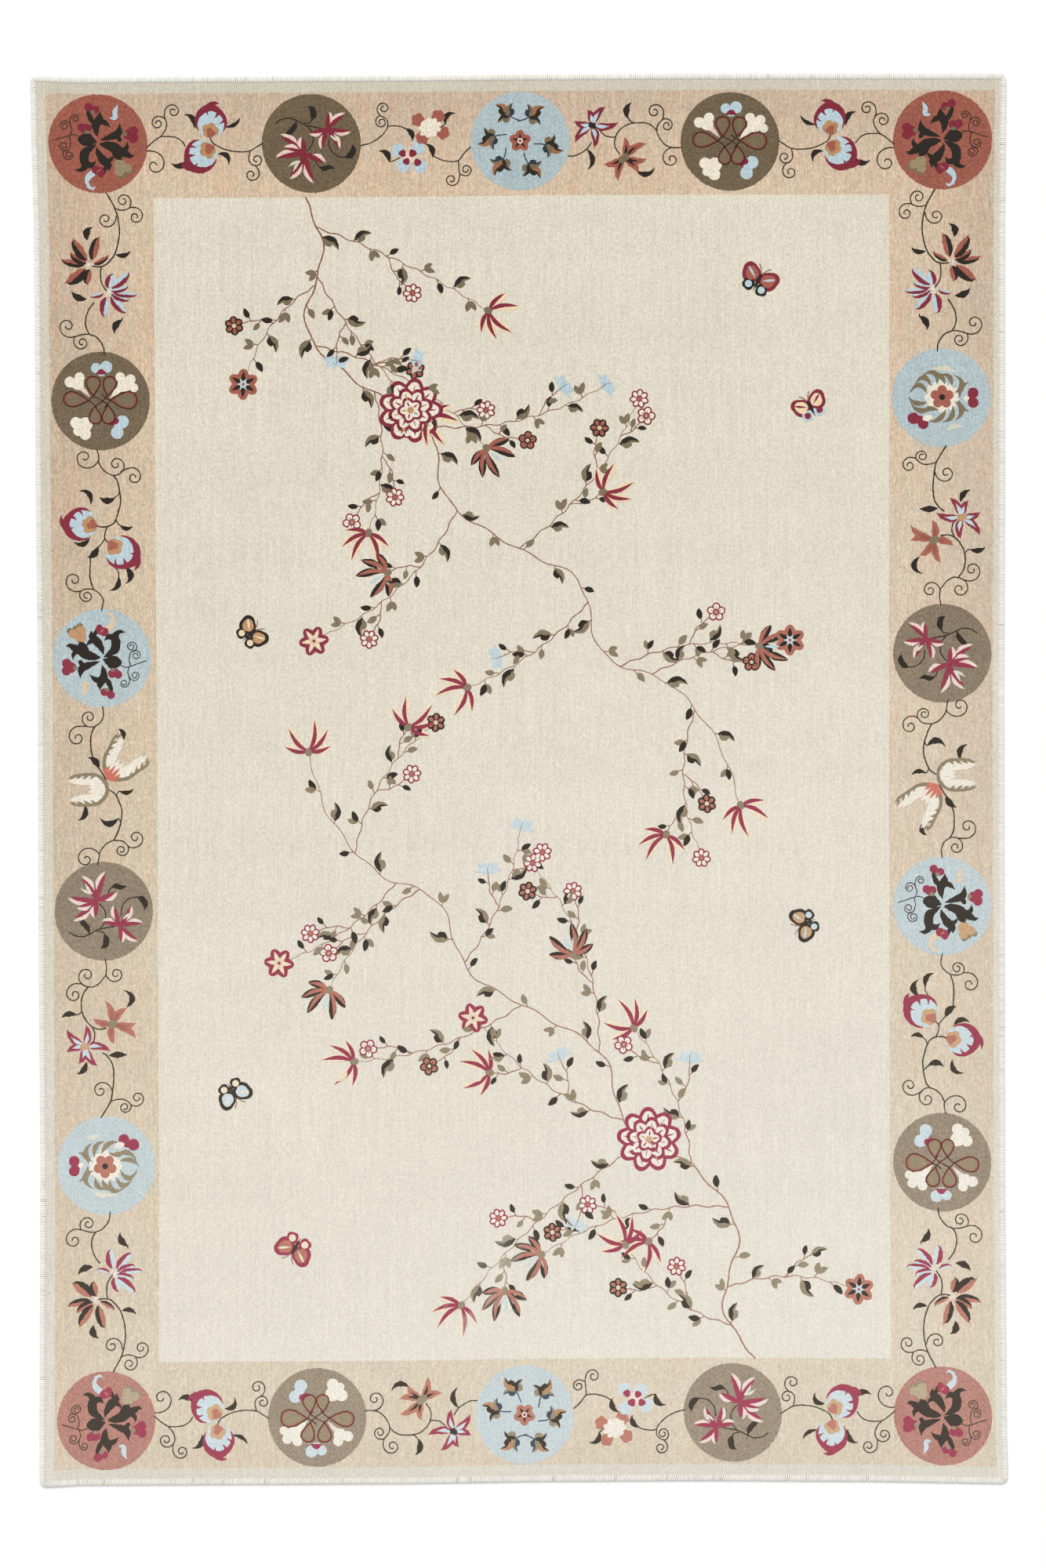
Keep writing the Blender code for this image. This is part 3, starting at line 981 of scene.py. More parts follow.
def cup_flower(at, aim, length, half, rim="olive", body="cream", foot=None, flip=False, flare=0.0):
    """A deep open cup: an olive wall that thins to its curled lips, ragged pale
    petals along its inner side, the middle left plain."""
    out = []
    for side in (1, -1):
        arm = [0j, complex(0.05 * length, side * 0.46 * half), complex(0.26 * length, side * 0.92 * half),
               complex(0.56 * length, side * (1.00 + 0.3 * flare) * half),
               complex(0.84 * length, side * (0.88 + flare) * half),
               complex(1.02 * length, side * (0.74 + 1.3 * flare) * half)]
        out += ribbon(arm, [7, 8, 7, 5.5, 5, 1.0], rim, 4, wobble=0.16)
        for k, (share, reach, turn) in enumerate(((0.34, 13, 40), (0.52, 14, 34), (0.70, 13, 30), (0.88, 13, 24))):
            p = complex(share * length, side * (0.96 - 0.12 * share + flare * share) * half)
            out += blade(p, p + polar(reach, -side * turn), 6, rim, 5, belly=0.2)
        for k, (share, reach, turn, wide) in enumerate((
            (0.04, 31, 4, 15), (0.18, 32, 10, 15), (0.32, 34, 18, 14),
            (0.48, 32, 20, 13), (0.64, 28, 18, 12), (0.80, 21, 12, 8),
        )):
            if share < 0.2:
                p = complex(8 + 52 * (share - 0.04), side * (0.14 + 2.9 * share) * half)
            else:
                p = complex(share * length, side * (0.78 - 0.08 * share + flare * share) * half)
            way = -side * turn
            out += blade(p - polar(9, way), p + polar(reach, way), wide, body, 3, belly=0.40, bend=-side * 0.10)
    if foot:
        out += ribbon([2 - 19j, -1 + 0j, 2 + 19j], [5, 16, 5], foot, 5)
        for y, reach in ((-13, 17), (-5, 26), (4, 24), (12, 16)):
            out += blade(complex(2, y * 0.9), complex(reach, y * 1.15), 7, foot, 6, belly=0.3)
    return moved(out, at, aim, 1.0, flip)


# ------------------------------------------------------------- inside the discs
def pinwheel():
    """Dark curled leaves about a hub, red buds among them, a small scroll at one side."""
    o = []
    k = "ink"
    o += ribbon([3 + 8j, -1 + 20j, -10 + 34j, -20 + 44j, -22 + 56j], [3, 12, 18, 15, 2], k, 3)
    o += ribbon([-12 + 35j, -24 + 34j, -33 + 24j], [13, 9, 1.2], k, 3)
    o += ribbon([-19 + 44j, -13 + 52j, -10 + 60j], [10, 8, 6], k, 3)
    o += ribbon([4 + 2j, 16 + 9j, 27 + 19j, 29 + 33j, 28 + 45j, 36 + 54j, 49 + 53j], [3, 12, 19, 19, 15, 9, 1.2], k, 3)
    o += ribbon([27 + 40j, 15 + 44j, 5 + 36j], [15, 12, 1.5], k, 4)
    o += ribbon([2 - 3j, 14 - 5j, 26 - 2j, 36 - 7j], [4, 15, 14, 9], k, 3)
    o += ribbon([8 - 8j, 20 - 15j, 32 - 14j, 38 - 10j], [6, 14, 10, 6], k, 4)
    o += ribbon([0 - 15j, 3 - 27j, 3 - 40j, -4 - 52j, -5 - 67j], [2, 12, 18, 15, 1.2], k, 3)
    o += ribbon([-2 - 46j, -14 - 44j, -26 - 34j], [15, 11, 1.5], k, 4)
    o += ribbon([8 - 38j, 13 - 50j, 18 - 62j, 19 - 70j], [2, 11, 9, 5], k, 3)
    o += ribbon([-5 - 7j, -18 - 11j, -32 - 16j, -43 - 23j, -46 - 42j], [2, 9, 15, 15, 1.2], k, 3)
    o += ribbon([-38 - 18j, -45 - 8j], [13, 9], k, 4)
    o += ribbon([-4 + 1j, -18 + 3j, -33 + 8j, -47 + 16j, -60 + 22j], [5, 16, 21, 17, 12], k, 3)
    o += ribbon([-54 + 20j, -66 + 26j, -74 + 24j], [15, 9, 1.5], k, 4)
    o += ribbon([-46 + 19j, -41 + 28j, -48 + 34j], [13, 9, 1.5], k, 5)
    o += ribbon([-50 + 16j, -59 + 8j, -60 - 3j], [14, 9, 1.5], k, 5)
    o += ribbon([-30 + 12j, -38 + 28j, -50 + 28j], [10, 9, 3], k, 5)
    o += cloud([(-3 + 57j, 9), (5 + 54j, 9), (-5 + 63j, 6.5)], "maroon", 5)
    o += blade(-5 + 52j, 5 + 60j, 4.5, "rust", 6)
    o += cloud([(-73 - 11j, 10), (-74 - 26j, 9.5), (-64 - 19j, 11)], "maroon", 4)
    o += fan(-56 - 20j, 5.5, "olive", 5, stretch=0.8)
    o += cloud([(21 - 32j, 9), (33 - 34j, 8.5), (27 - 29j, 8)], "maroon", 4)
    o += fan(22 - 24j, 4, "olive", 5, stretch=1.5)
    o += cloud([(4 - 70j, 8), (18 - 76j, 8.5), (11 - 71j, 7)], "maroon", 4)
    o += fan(10 - 65j, 4, "olive", 5, stretch=1.3)
    o += cloud([(-43 + 57j, 10), (-59 + 50j, 9.5), (-44 + 44j, 12)], "ochre", 3)
    o += cloud([(-45 + 66j, 7), (-66 + 56j, 6.5), (-54 + 60j, 7)], "olive", 2)
    o += ribbon([13 + 61j, 20 + 67j, 25 + 78j, 19 + 90j], [13, 13, 8, 5], "sky", 4)
    o += ribbon([22 + 88j, 13 + 93j, 8 + 88j], [7, 5, 1.5], "sky", 5)
    o += ribbon([-26 - 52j, -36 - 54j, -36 - 66j, -42 - 79j], [3, 10, 10, 2], "sky", 4)
    thin = dict(yarn="thread", width=2.0, level=3)
    o += stem([38 - 15j, 48 - 19j, 59 - 17j, 73 - 12j, 92 - 6j], **thin)
    o += stem([59 - 17j, 56 - 4j, 58 + 8j], **thin)
    o += curl(58 + 8j, 70, 12.0, -540, r1=3.6, **thin)
    o += stem([62 + 13j, 69 + 15j, 72 + 21j], **thin)
    o += curl(72 + 21j, 85, 11.5, 540, r1=3.6, **thin)
    o += stem([56 - 18j, 53 - 30j, 57 - 41j], **thin)
    o += curl(57 - 41j, 300, 11.5, 540, r1=3.6, **thin)
    o += stem([55 - 37j, 57 - 46j, 55 - 52j], **thin)
    o += curl(55 - 52j, 262, 9.5, -520, r1=3.2, **thin)
    return moved(o, 0j, 180)


def knot_disc():
    """An interlaced six-loop knot, with puffs of pale blue and cream about it."""
    o = []
    o += cloud([(-9 + 68j, 10.5), (12 + 70j, 12.5), (2 + 62j, 11)], "sky", 3)
    o += ribbon([-8 + 56j, 2 + 60j, 12 + 56j], [4, 12, 4], "maroon", 4)
    o += cloud([(-63 + 39j, 11), (-43 + 49j, 10.5), (-47 + 36j, 13)], "cream", 3)
    o += ribbon([-46 + 34j, -34 + 22j, -22 + 9j], [18, 9, 2], "blush", 2)
    o += cloud([(41 + 49j, 10), (62 + 44j, 10.5), (69 + 27j, 9), (50 + 34j, 15)], "cream", 3)
    o += ribbon([50 + 34j, 34 + 20j, 20 + 6j], [24, 12, 2], "cream", 3)
    o += cloud([(-51 - 45j, 12), (-32 - 48j, 15), (-47 - 62j, 9.5), (-32 - 68j, 12)], "cream", 3)
    o += cloud([(45 - 43j, 13), (34 - 65j, 13), (37 - 53j, 10)], "sky", 3)
    o += cloud([(24 - 44j, 7), (31 - 41j, 7)], "maroon", 4)
    # each loop, from its crossing to its round end, and half its width
    for near, far, half in (
        (-24 + 1j, -76 + 5j, 16.5), (20 + 2j, 75 + 1j, 19), (-15 + 10j, -15 + 51j, 15),
        (14 + 10j, 22 + 50j, 14.5), (-12 - 10j, -11 - 47j, 13.5), (15 - 8j, 17 - 47j, 14.5),
    ):
        span = far - near
        side = 1j * span / abs(span)
        line = []
        for i in range(37):
            a = math.pi * (i / 18 - 1)
            t = (1 + math.cos(a)) / 2
            line.append(near + span * (t ** 0.80) + side * half * 1.30 * math.sin(a) * (t ** 0.42) * (1.0 - 0.14 * t))
        middle = near + span * 0.60
        o.append(("rust_dim", 4, "fan", middle, line[:-1]))
        small = [middle + (p - middle) * 0.78 for p in line[:-1]]
        o.append(("olive_light", 5, "fan", middle, small))
        o.append(band(line, "plum", 6, 2.3, wobble=0.1))
    for a, b in ((-24 + 1j, -8 - 14j), (-15 + 10j, 16 - 9j), (14 + 10j, -12 - 11j), (20 + 2j, 2 + 14j),
                 (-24 + 1j, -12 + 13j), (20 + 2j, 8 - 13j)):
        o += stem([a, (a + b) / 2 + 1j * (b - a) * 0.05, b], "plum", 2.1, 6)
    return o


def spray_disc():
    """Two spidery blossoms on dark stems."""
    o = []
    o += stem([-72 + 42j, -60 + 50j, -42 + 52j, -28 + 46j, -12 + 38j, 6 + 34j, 22 + 31j], "ink", 2.6)
    o += stem([-8 + 37j, 2 + 22j, 4 + 4j, -2 - 8j, -10 - 16j], "ink", 2.4)
    o += stem([36 + 8j, 38 - 10j, 47 - 22j, 58 - 28j, 70 - 29j], "ink", 2.4)
    o += ribbon([1 + 46j, 5 + 58j, 3 + 70j, -6 + 76j], [2, 13, 12, 1.2], "ink", 3)
    o += stem([-14 + 42j, -4 + 42j, 2 + 48j], "ink", 2.4)
    o += ribbon([-30 + 46j, -34 + 34j, -44 + 23j, -54 + 19j], [2, 11, 11, 1.2], "ink", 3)
    o += ribbon([68 - 29j, 79 - 25j, 86 - 14j, 84 - 2j], [2, 13, 12, 1.2], "ink", 3)
    o += stem([8 - 34j, 12 - 44j, 18 - 50j], "ink", 2.2)
    o += ribbon([16 - 49j, 26 - 52j, 36 - 49j, 48 - 52j], [3, 11, 9, 1.2], "ink", 3)
    o += spider_flower(
        -14 - 22j,
        [(140, 64), (100, 36), (186, 60), (238, 60), (286, 62), (338, 46), (160, 44)],
        14,
    )
    o += ribbon([-24 - 36j, -36 - 40j, -48 - 48j], [3, 6, 1], "cream_dim", 5)
    o += ribbon([-24 - 36j, -32 - 46j, -38 - 58j], [3, 6, 1], "cream_dim", 5)
    o += spider_flower(
        33 + 30j,
        [(82, 35), (41, 49), (352, 48), (302, 48), (253, 44), (196, 38)],
        12,
    )
    o += ribbon([40 + 16j, 50 + 8j, 60 + 4j], [3, 6, 1], "cream_dim", 5)
    return o


def sprig_disc():
    """Small lobed leaves in threes on dark twigs, about a plain blossom."""
    o = []
    for deg, reach, turn, mirrored in (
        (62, 58, 25, False), (118, 62, 150, True), (172, 62, 195, False),
        (232, 60, 250, True), (290, 60, 300, False), (352, 62, 350, True),
    ):
        at = polar(reach, deg)
        sprig = stem([-34 + 4j, -16 + 1j, 2 + 3j], "navy", 2.4, 2)
        for a, b, w, dark, light in (
            (0 + 2j, 27 + 10j, 17, "ink", "ochre_dark"), (-8 + 1j, 2 + 26j, 15, "navy", "olive"),
            (-10 - 1j, 8 - 20j, 15, "olive", "ink"),
        ):
            sprig += two_tone(a, math.degrees(cmath.phase(b - a)), abs(b - a), w * 1.25, dark, light)
        o += moved(sprig, at, turn, 1.0, mirrored)
    for i in range(5):
        deg = 90 + 72 * i
        o += fan(polar(13, deg), 10, "rust", 3, wave_lobes(3, 0.16), turn=deg)
        o += blade(polar(4, deg), polar(17, deg), 5, "ink", 4, belly=0.3)
    o += fan(0j, 6, "cream", 5, wave_lobes(5, 0.2))
    o += fan(0j, 3, "maroon", 6)
    return o


def wreath_disc():
    """A rust blossom in a ragged cream ring, with olive leaves and red buds about it."""
    o = []
    o += fan(-1 - 1j, 34, "cream", 3, wave_lobes(17, 0.30), stretch=1.08, rough=0.07)
    for base, tip, bend in (
        (20 + 22j, 63 + 13j, 0.16), (29 + 10j, 68 + 1j, 0.12), (29 - 9j, 64 - 13j, -0.30),
        (21 - 24j, 53 - 31j, -0.30), (8 - 29j, 35 - 49j, -0.30), (-22 - 24j, -1 - 49j, -0.18),
        (-8 - 28j, 17 - 50j, -0.14), (-29 - 10j, -31 - 46j, -0.26), (-38 - 1j, -55 - 32j, 0.12),
        (-36 + 5j, -56 + 28j, -0.12), (-31 + 9j, -32 + 46j, 0.20), (-24 + 18j, -5 + 51j, 0.16),
        (-10 + 25j, 24 + 50j, 0.12), (6 + 26j, 42 + 32j, -0.12),
    ):
        o += leaf(base, tip, 11.5, "olive", 4, bend=bend)
    o += cloud([(37 + 54j, 11), (57 + 43j, 12), (44 + 46j, 9)], "maroon", 5)
    o += cloud([(-66 + 10j, 11), (-66 - 10j, 11), (-60 + 0j, 8)], "maroon", 5)
    o += fan(28 + 42j, 7, "cream", 6, wave_lobes(4, 0.2), stretch=1.6, turn=15)
    o += fan(-52 + 1j, 6, "cream", 6, wave_lobes(4, 0.2))
    for i in range(5):
        o += fan(-2 - 1j + polar(14, 54 + 72 * i), 10.5, "rust", 5, wave_lobes(2, 0.10), turn=54 + 72 * i)
    o += fan(-2 - 1j, 12, "rust", 5)
    o += fan(-2 - 1j, 6.2, "ink", 6)
    o += ribbon([-42 + 60j, -28 + 58j, -12 + 66j], [3, 10, 4], "cream_dim", 2)
    o += ribbon([-30 - 52j, -10 - 60j, 22 - 60j], [3, 11, 4], "cream_dim", 2)
    return o


# --------------------------------------------------- sprays between the discs
def spray_fruit_across():
    """From a rust corner disc to an olive one: tendrils and two split fruits."""
    o = []
    o += stem([99 - 9j, 114 + 4j, 128 + 13j, 143 + 14j, 160 + 12j, 172 + 4j, 179 - 6j])
    o += stem([128 + 13j, 138 + 26j, 142 + 40j, 137 + 54j])
    o += curl(138 + 50j, 130, 17, 500)
    o += curl(137 + 53j, 88, 18, -500, lead=10)
    o += curl(100 - 16j, 12, 33, -470)
    o += pomegranate(230 + 12j, 84, 0.86, -1)
    o += leaf(199 + 31j, 180 + 60j, 13, bend=-0.16)
    o += leaf(262 + 33j, 292 + 50j, 9, bend=-0.10)
    o += pomegranate(236 - 5j, 216, 0.90, -1)
    o += leaf(182 - 36j, 150 - 43j, 13, bend=0.16)
    o += leaf(246 - 22j, 268 - 42j, 12, bend=0.22)
    o += stem([230 + 12j, 237 - 1j, 260 - 13j, 287 - 18j, 311 - 16j, 327 - 7j, 338 + 0j])
    o += curl(311 - 16j, 258, 17, 490, lead=12)
    o += curl(318.4 - 44.6j, 318, 19, -470, lead=6)
    return o, complex(436.9, -1.6)


def spray_lobes_across():
    """From an olive disc to a blue one: two four-petalled blossoms."""
    o = []
    o += stem([99 - 5j, 121 + 1j, 141 + 13j, 155 + 28j, 157 + 35j])
    o += stem([157 + 35j, 169 + 37j, 186 + 35j, 197 + 29j])
    o += leaf(195 + 31j, 209 + 7j, 13, bend=0.14)
    o += stem([157 + 35j, 158 + 45j, 152 + 53j, 141 + 58j])
    o += curl(142 + 58j, 200, 14, 500)
    o += curl(143 + 57j, 130, 15, -500, lead=6)
    o += four_lobes(245 + 33j, 14.5, [(147, 30), (55, 29), (338, 29), (232, 27)], "rust", "cream", 21, 9)
    o += stem([262 + 31j, 270 + 36j, 278 + 43j], width=2.3)
    o += leaf(276 + 40j, 295 + 64j, 12, bend=0.2)
    o += four_lobes(203 - 28j, 15.5, [(150, 28), (48, 27), (232, 22), (318, 29)], "sky", "blush", 13, 4)
    for c, r in ((-15 + 8j, 8.0), (6 + 8j, 8.5), (-7 - 9j, 7.5), (16 - 11j, 8.0)):
        o += lobed(203 - 28j + c, r, "maroon", 5, 3, 0.26, turn=60 * c.real)
    o += leaf(160 - 38j, 141 - 14j, 14, bend=-0.18)
    o += stem([159 - 37j, 168 - 36j, 184 - 28j], width=2.3)
    o += leaf(250 - 28j, 237 + 0j, 13, bend=-0.14)
    o += stem([249 - 24j, 264 - 32j, 284 - 37j, 303 - 35j, 315 - 20j, 329 - 7j])
    o += stem([303 - 35j, 304 - 52j, 306 - 64j])
    o += curl(306 - 63j, 335, 13.5, 490, lead=6)
    o += curl(306 - 62j, 262, 16, -480, lead=12)
    return o, complex(430.4, 4.8)


def spray_stars_across():
    """From a blue disc to an olive one: two star blossoms."""
    o = []
    o += stem([97 - 31j, 113 - 30j, 130 - 21j, 139 - 13j, 146 - 2j])
    o += leaf(137 - 17j, 141 - 58j, 12, bend=0.16)
    o += stem([161 + 24j, 174 + 11j, 191 + 8j, 196 + 11j])
    o += star_flower(
        147 + 32j, [(107, 34), (55, 47), (6, 53), (275, 46), (225, 49), (166, 37)], 15.5,
        "maroon", "sky", "ink", 7, -30,
    )
    o += stem([196 + 11j, 201 + 20j, 215 + 32j, 232 + 37j, 256 + 37j, 271 + 30j, 279 + 21j])
    o += stem([232 + 37j, 224 + 42j, 220 + 50j], width=2.3)
    o += leaf(219 + 47j, 225 + 79j, 14, bend=0.12)
    o += stem([196 + 11j, 193 - 1j, 195 - 14j, 204 - 28j])
    o += star_flower(
        212 - 35j, [(88, 43), (33, 55), (358, 47), (315, 42), (256, 48), (197, 43)], 15.5,
        "rust", "ink", "olive", 9, 40, inner_w=0.36,
    )
    o += leaf(238 - 61j, 275 - 57j, 12, bend=-0.18)
    o += stem([279 + 21j, 281 + 33j, 291 + 45j])
    o += curl(290 + 44j, 30, 15, -500)
    o += curl(291 + 45j, 78, 20, 500, lead=8)
    o += stem([279 + 21j, 283 + 9j, 295 - 6j, 310 - 13j, 331 - 13j])
    o += curl(312 - 13j, 186, 24, 480)
    return o, complex(428.8, 0)


def spray_split_down():
    """From a rust corner disc down to an olive one: two loose-petalled blossoms."""
    o = []
    o += stem([14 - 100j, 27 - 123j, 31 - 132j, 36 - 147j, 40 - 174j, 38 - 200j, 30 - 227j,
               19 - 242j, 8 - 251j, -5 - 253j, -16 - 251j], width=2.8)
    o += curl(34 - 148j, 262, 21, -490, lead=6)
    o += stem([31 - 132j, 40 - 136j, 52 - 136j, 63 - 131j])
    o += curl(62 - 131j, 72, 17, 490, lead=6)
    o += curl(61 - 132j, 15, 21, -490, lead=3)
    o += leaf(-26 - 198j, -17 - 171j, 16, bend=0.16)
    o += leaf(33 - 228j, 62 - 222j, 11, bend=-0.12)
    o += split_flower(
        -20 - 251j,
        [(126, 68, 17, -1), (77, 64, 16, -1), (152, 50, 13, -1), (172, 63, 12, -1),
         (219, 64, 20, -1), (255, 40, 15, 1), (25, 44, 9, 1)],
        "rust", "ink",
    )
    o += stem([3 - 254j, 1 - 265j, 3 - 286j, 14 - 303j], width=2.7)
    o += split_flower(
        14 - 305j,
        [(75, 42, 14, -1), (39, 65, 15, 1), (12, 48, 10, 1), (353, 66, 10, 1),
         (338, 52, 12, 1), (310, 61, 15, 1), (261, 54, 16, 1), (198, 37, 8, -1)],
        "sky", "maroon",
    )
    o += leaf(-28 - 319j, -59 - 305j, 15, bend=0.10)
    o += leaf(45 - 362j, 28 - 389j, 15, bend=-0.12)
    o += stem([45 - 364j, 45 - 357j], width=2.3)
    o += stem([-13 - 326j, -24 - 342j, -30 - 361j, -29 - 377j, -22 - 391j, -10 - 396j,
               0 - 406j, 7 - 420j, 8 - 434j], width=2.7)
    o += stem([-22 - 391j, -37 - 392j, -53 - 397j])
    o += curl(-51 - 396j, 196, 25, -480, lead=4)
    o += curl(-53 - 397j, 255, 18, 480, lead=4)
    return o, complex(0, -528.7)


def spray_fruit_down():
    """From an olive disc down to a blue one: two split fruits."""
    o = []
    o += stem([-6 - 99j, -2 - 112j, -2 - 125j])
    o += curl(-2 - 123j, 238, 29, -480, lead=3)
    o += stem([-2 - 125j, 6 - 139j, 18 - 149j, 30 - 153j])
    o += curl(28 - 153j, 6, 23, 480, lead=4)
    o += curl(44 - 144.5j, 26, 22, -476, lead=15)
    o += stem([30 - 153j, 38 - 165j, 43 - 187j, 45 - 208j, 40 - 230j, 36 - 243j, 30 - 252j,
               19 - 258j, 6 - 259j, -4 - 256j], width=2.8)
    o += stem([43 - 187j, 38 - 194j, 31 - 199j], width=2.3)
    o += leaf(33 - 199j, 2 - 199j, 14, bend=0.14)
    o += leaf(-16 - 212j, -38 - 184j, 12, bend=-0.20)
    o += pomegranate(-3 - 255j, 176, 0.90, -1)
    o += stem([36 - 243j, 41 - 252j, 47 - 256j], width=2.3)
    o += leaf(45 - 255j, 70 - 258j, 10, bend=-0.14)
    o += leaf(-18 - 284j, -49 - 293j, 12, bend=0.16)
    o += stem([18 - 259j, 14 - 272j, 14 - 283j, 22 - 292j])
    o += stem([14 - 283j, 5 - 296j, -2 - 303j])
    o += leaf(0 - 300j, -21 - 323j, 16, bend=0.1)
    o += pomegranate(21 - 291j, 324, 0.93, -1)
    o += leaf(57 - 341j, 61 - 374j, 15, bend=0.2)
    o += stem([36 - 341j, 43 - 353j, 43 - 365j], width=2.3)
    o += leaf(43 - 360j, 28 - 390j, 12, bend=0.16)
    o += stem([-15 - 320j, -16 - 339j, -16 - 360j, -13 - 375j, -8 - 388j], width=2.7)
    o += stem([-8 - 388j, 4 - 396j, 12 - 408j, 11 - 421j, 9 - 432j])
    o += stem([-8 - 388j, -24 - 387j, -36 - 393j])
    o += curl(-35 - 392j, 190, 25, -480, lead=4)
    o += curl(-36 - 393j, 262, 15, 480, lead=4)
    return o, complex(11.3, -528.7)


def spray_cups_down():
    """From a blue disc down to an olive one: two cup blossoms."""
    o = []
    o += stem([0 - 99j, 2 - 117j, -4 - 132j, -16 - 141j])
    o += curl(-15 - 141j, 190, 21, -490, lead=5)
    o += curl(-30 - 140.5j, 178, 25, 480, lead=16)
    o += stem([-16 - 141j, -23 - 155j, -25 - 176j, -23 - 197j, -16 - 216j, -7 - 229j,
               2 - 243j, 6 - 254j, 6 - 266j], width=2.8)
    o += leaf(-8 - 228j, -29 - 204j, 15, bend=-0.1)
    o += stem([5 - 252j, 10 - 245j, 16 - 240j], width=2.7)
    o += cup_flower(14 - 243j, 49, 78, 34, "olive", "cream", "rust_bright", flare=0.42)
    o += leaf(43 - 168j, 34 - 146j, 11, bend=-0.14)
    o += cup_flower(9 - 270j, 182, 76, 31, "olive", "cream", None, flare=0.10)
    o += stem([8 - 270j, 21 - 277j, 28 - 285j, 35 - 301j, 39 - 317j, 37 - 338j, 29 - 362j,
               22 - 376j], width=2.8)
    o += stem([28 - 285j, 30 - 278j, 36 - 274j], width=2.3)
    o += leaf(35 - 275j, 63 - 272j, 10, bend=-0.12)
    o += leaf(31 - 331j, -6 - 333j, 14, bend=0.2)
    o += stem([36 - 338j, 34 - 333j, 30 - 331j], width=2.3)
    o += leaf(-38 - 303j, -50 - 335j, 13, bend=0.16)
    o += stem([22 - 376j, 40 - 378j, 52 - 389j])
    o += curl(51 - 388j, 282, 15, -490, lead=3)
    o += curl(51 - 389j, 338, 23, 480, lead=3)
    o += stem([22 - 376j, 8 - 382j, -4 - 395j, -8 - 404j, -10 - 416j, -13 - 428j])
    o += curl(-8 - 405j, 128, 29, 480, lead=3)
    return o, complex(0, -522.3)


def spray_stars_down():
    """From an olive disc down to a blue one: two star blossoms."""
    o = []
    o += stem([4 - 98j, 7 - 115j, 6 - 131j])
    o += curl(6 - 130j, 292, 20, 490, lead=3)
    o += stem([6 - 131j, -6 - 147j, -19 - 156j, -30 - 156j])
    o += curl(-28 - 156j, 172, 23, -490, lead=4)
    o += curl(-40.5 - 151j, 172, 24, 484, lead=10)
    o += stem([-30 - 156j, -39 - 168j, -44 - 184j, -43 - 206j, -35 - 224j, -22 - 238j,
               -8 - 243j, 8 - 241j], width=2.8)
    o += stem([-43 - 206j, -48 - 212j, -56 - 214j], width=2.3)
    o += leaf(-54 - 214j, -85 - 218j, 12, bend=-0.10)
    o += star_flower(
        20 - 232j, [(107, 49), (48, 44), (3, 49), (330, 57), (276, 41), (165, 41)], 15.5,
        "rust", "rust_dim", "olive", 8, 30, inner_w=0.42,
    )
    o += leaf(50 - 197j, 47 - 162j, 13, bend=-0.26)
    o += stem([-22 - 238j, -16 - 251j, -18 - 267j, -26 - 274j])
    o += star_flower(
        -36 - 279j, [(88, 44), (137, 52), (197, 39), (250, 37), (303, 47), (351, 53)], 15.5,
        "maroon", "sky", "ochre", 8, 20,
    )
    o += leaf(-33 - 311j, -51 - 336j, 13, bend=0.12)
    o += stem([0 - 291j, 10 - 298j, 21 - 315j, 24 - 339j, 22 - 369j, 18 - 391j, 8 - 409j,
               -2 - 426j], width=2.8)
    o += leaf(14 - 297j, 51 - 295j, 14, bend=0.02)
    o += curl(21 - 371j, 106, 23, 480, lead=3)
    o += stem([18 - 391j, 32 - 387j, 48 - 388j, 61 - 398j])
    o += curl(60 - 397j, 275, 13, -490, lead=3)
    o += curl(60 - 398j, 342, 18, 490, lead=5)
    return o, complex(9.7, -523.9)


# ------------------------------------------------------------------ the border
DISC_X = [-863, -427, 3, 432, 869.5]
DISC_Y = [1312, 784, 256.5, -264.5, -790, -1307]

# Each disc: its column and row, its ground, its filling, and how the filling lies.
DISCS = [
    {"column": 0, "row": 0, "ground": "disc_rust", "filling": "pinwheel", "turn": 0, "flip": False},
    {"column": 1, "row": 0, "ground": "disc_olive", "filling": "spray", "turn": 0, "flip": False},
    {"column": 2, "row": 0, "ground": "disc_sky", "filling": "sprigs", "turn": 0, "flip": False},
    {"column": 3, "row": 0, "ground": "disc_olive", "filling": "knot", "turn": 0, "flip": False},
    {"column": 4, "row": 0, "ground": "disc_rust", "filling": "pinwheel", "turn": 180, "flip": True},
    {"column": 0, "row": 1, "ground": "disc_olive", "filling": "knot", "turn": 0, "flip": False},
    {"column": 0, "row": 2, "ground": "disc_sky", "filling": "pinwheel", "turn": 180, "flip": False},
    {"column": 0, "row": 3, "ground": "disc_olive", "filling": "spray", "turn": 0, "flip": True},
    {"column": 0, "row": 4, "ground": "disc_sky", "filling": "wreath", "turn": 0, "flip": False},
    {"column": 0, "row": 5, "ground": "disc_rust", "filling": "pinwheel", "turn": 0, "flip": True},
]
MIRROR_OF = {0: 4, 1: 3, 2: 2, 3: 1, 4: 0}


# how far a disc lies off its place in the grid: (column, row): (right, up)
NUDGE = {
    (0, 1): (-1.6, -1.6), (0, 2): (-3.0, -3.2), (0, 3): (-1.6, -3.2), (0, 4): (0, -1.6),
    (0, 5): (1.6, -9.5), (1, 0): (1.6, -1.6), (1, 5): (1.6, -4.8), (2, 5): (0, -4.0),
    (3, 0): (1.6, -3.2), (3, 5): (1.6, -1.6), (4, 1): (-1.6, -1.6), (4, 2): (1.6, 0),
    (4, 3): (1.6, 1.6), (4, 5): (-1.6, -4.8),
}


def disc_place(column, row):
    right, up = NUDGE.get((column, row), (0, 0))
    return complex(DISC_X[column] + right, DISC_Y[row] + up)


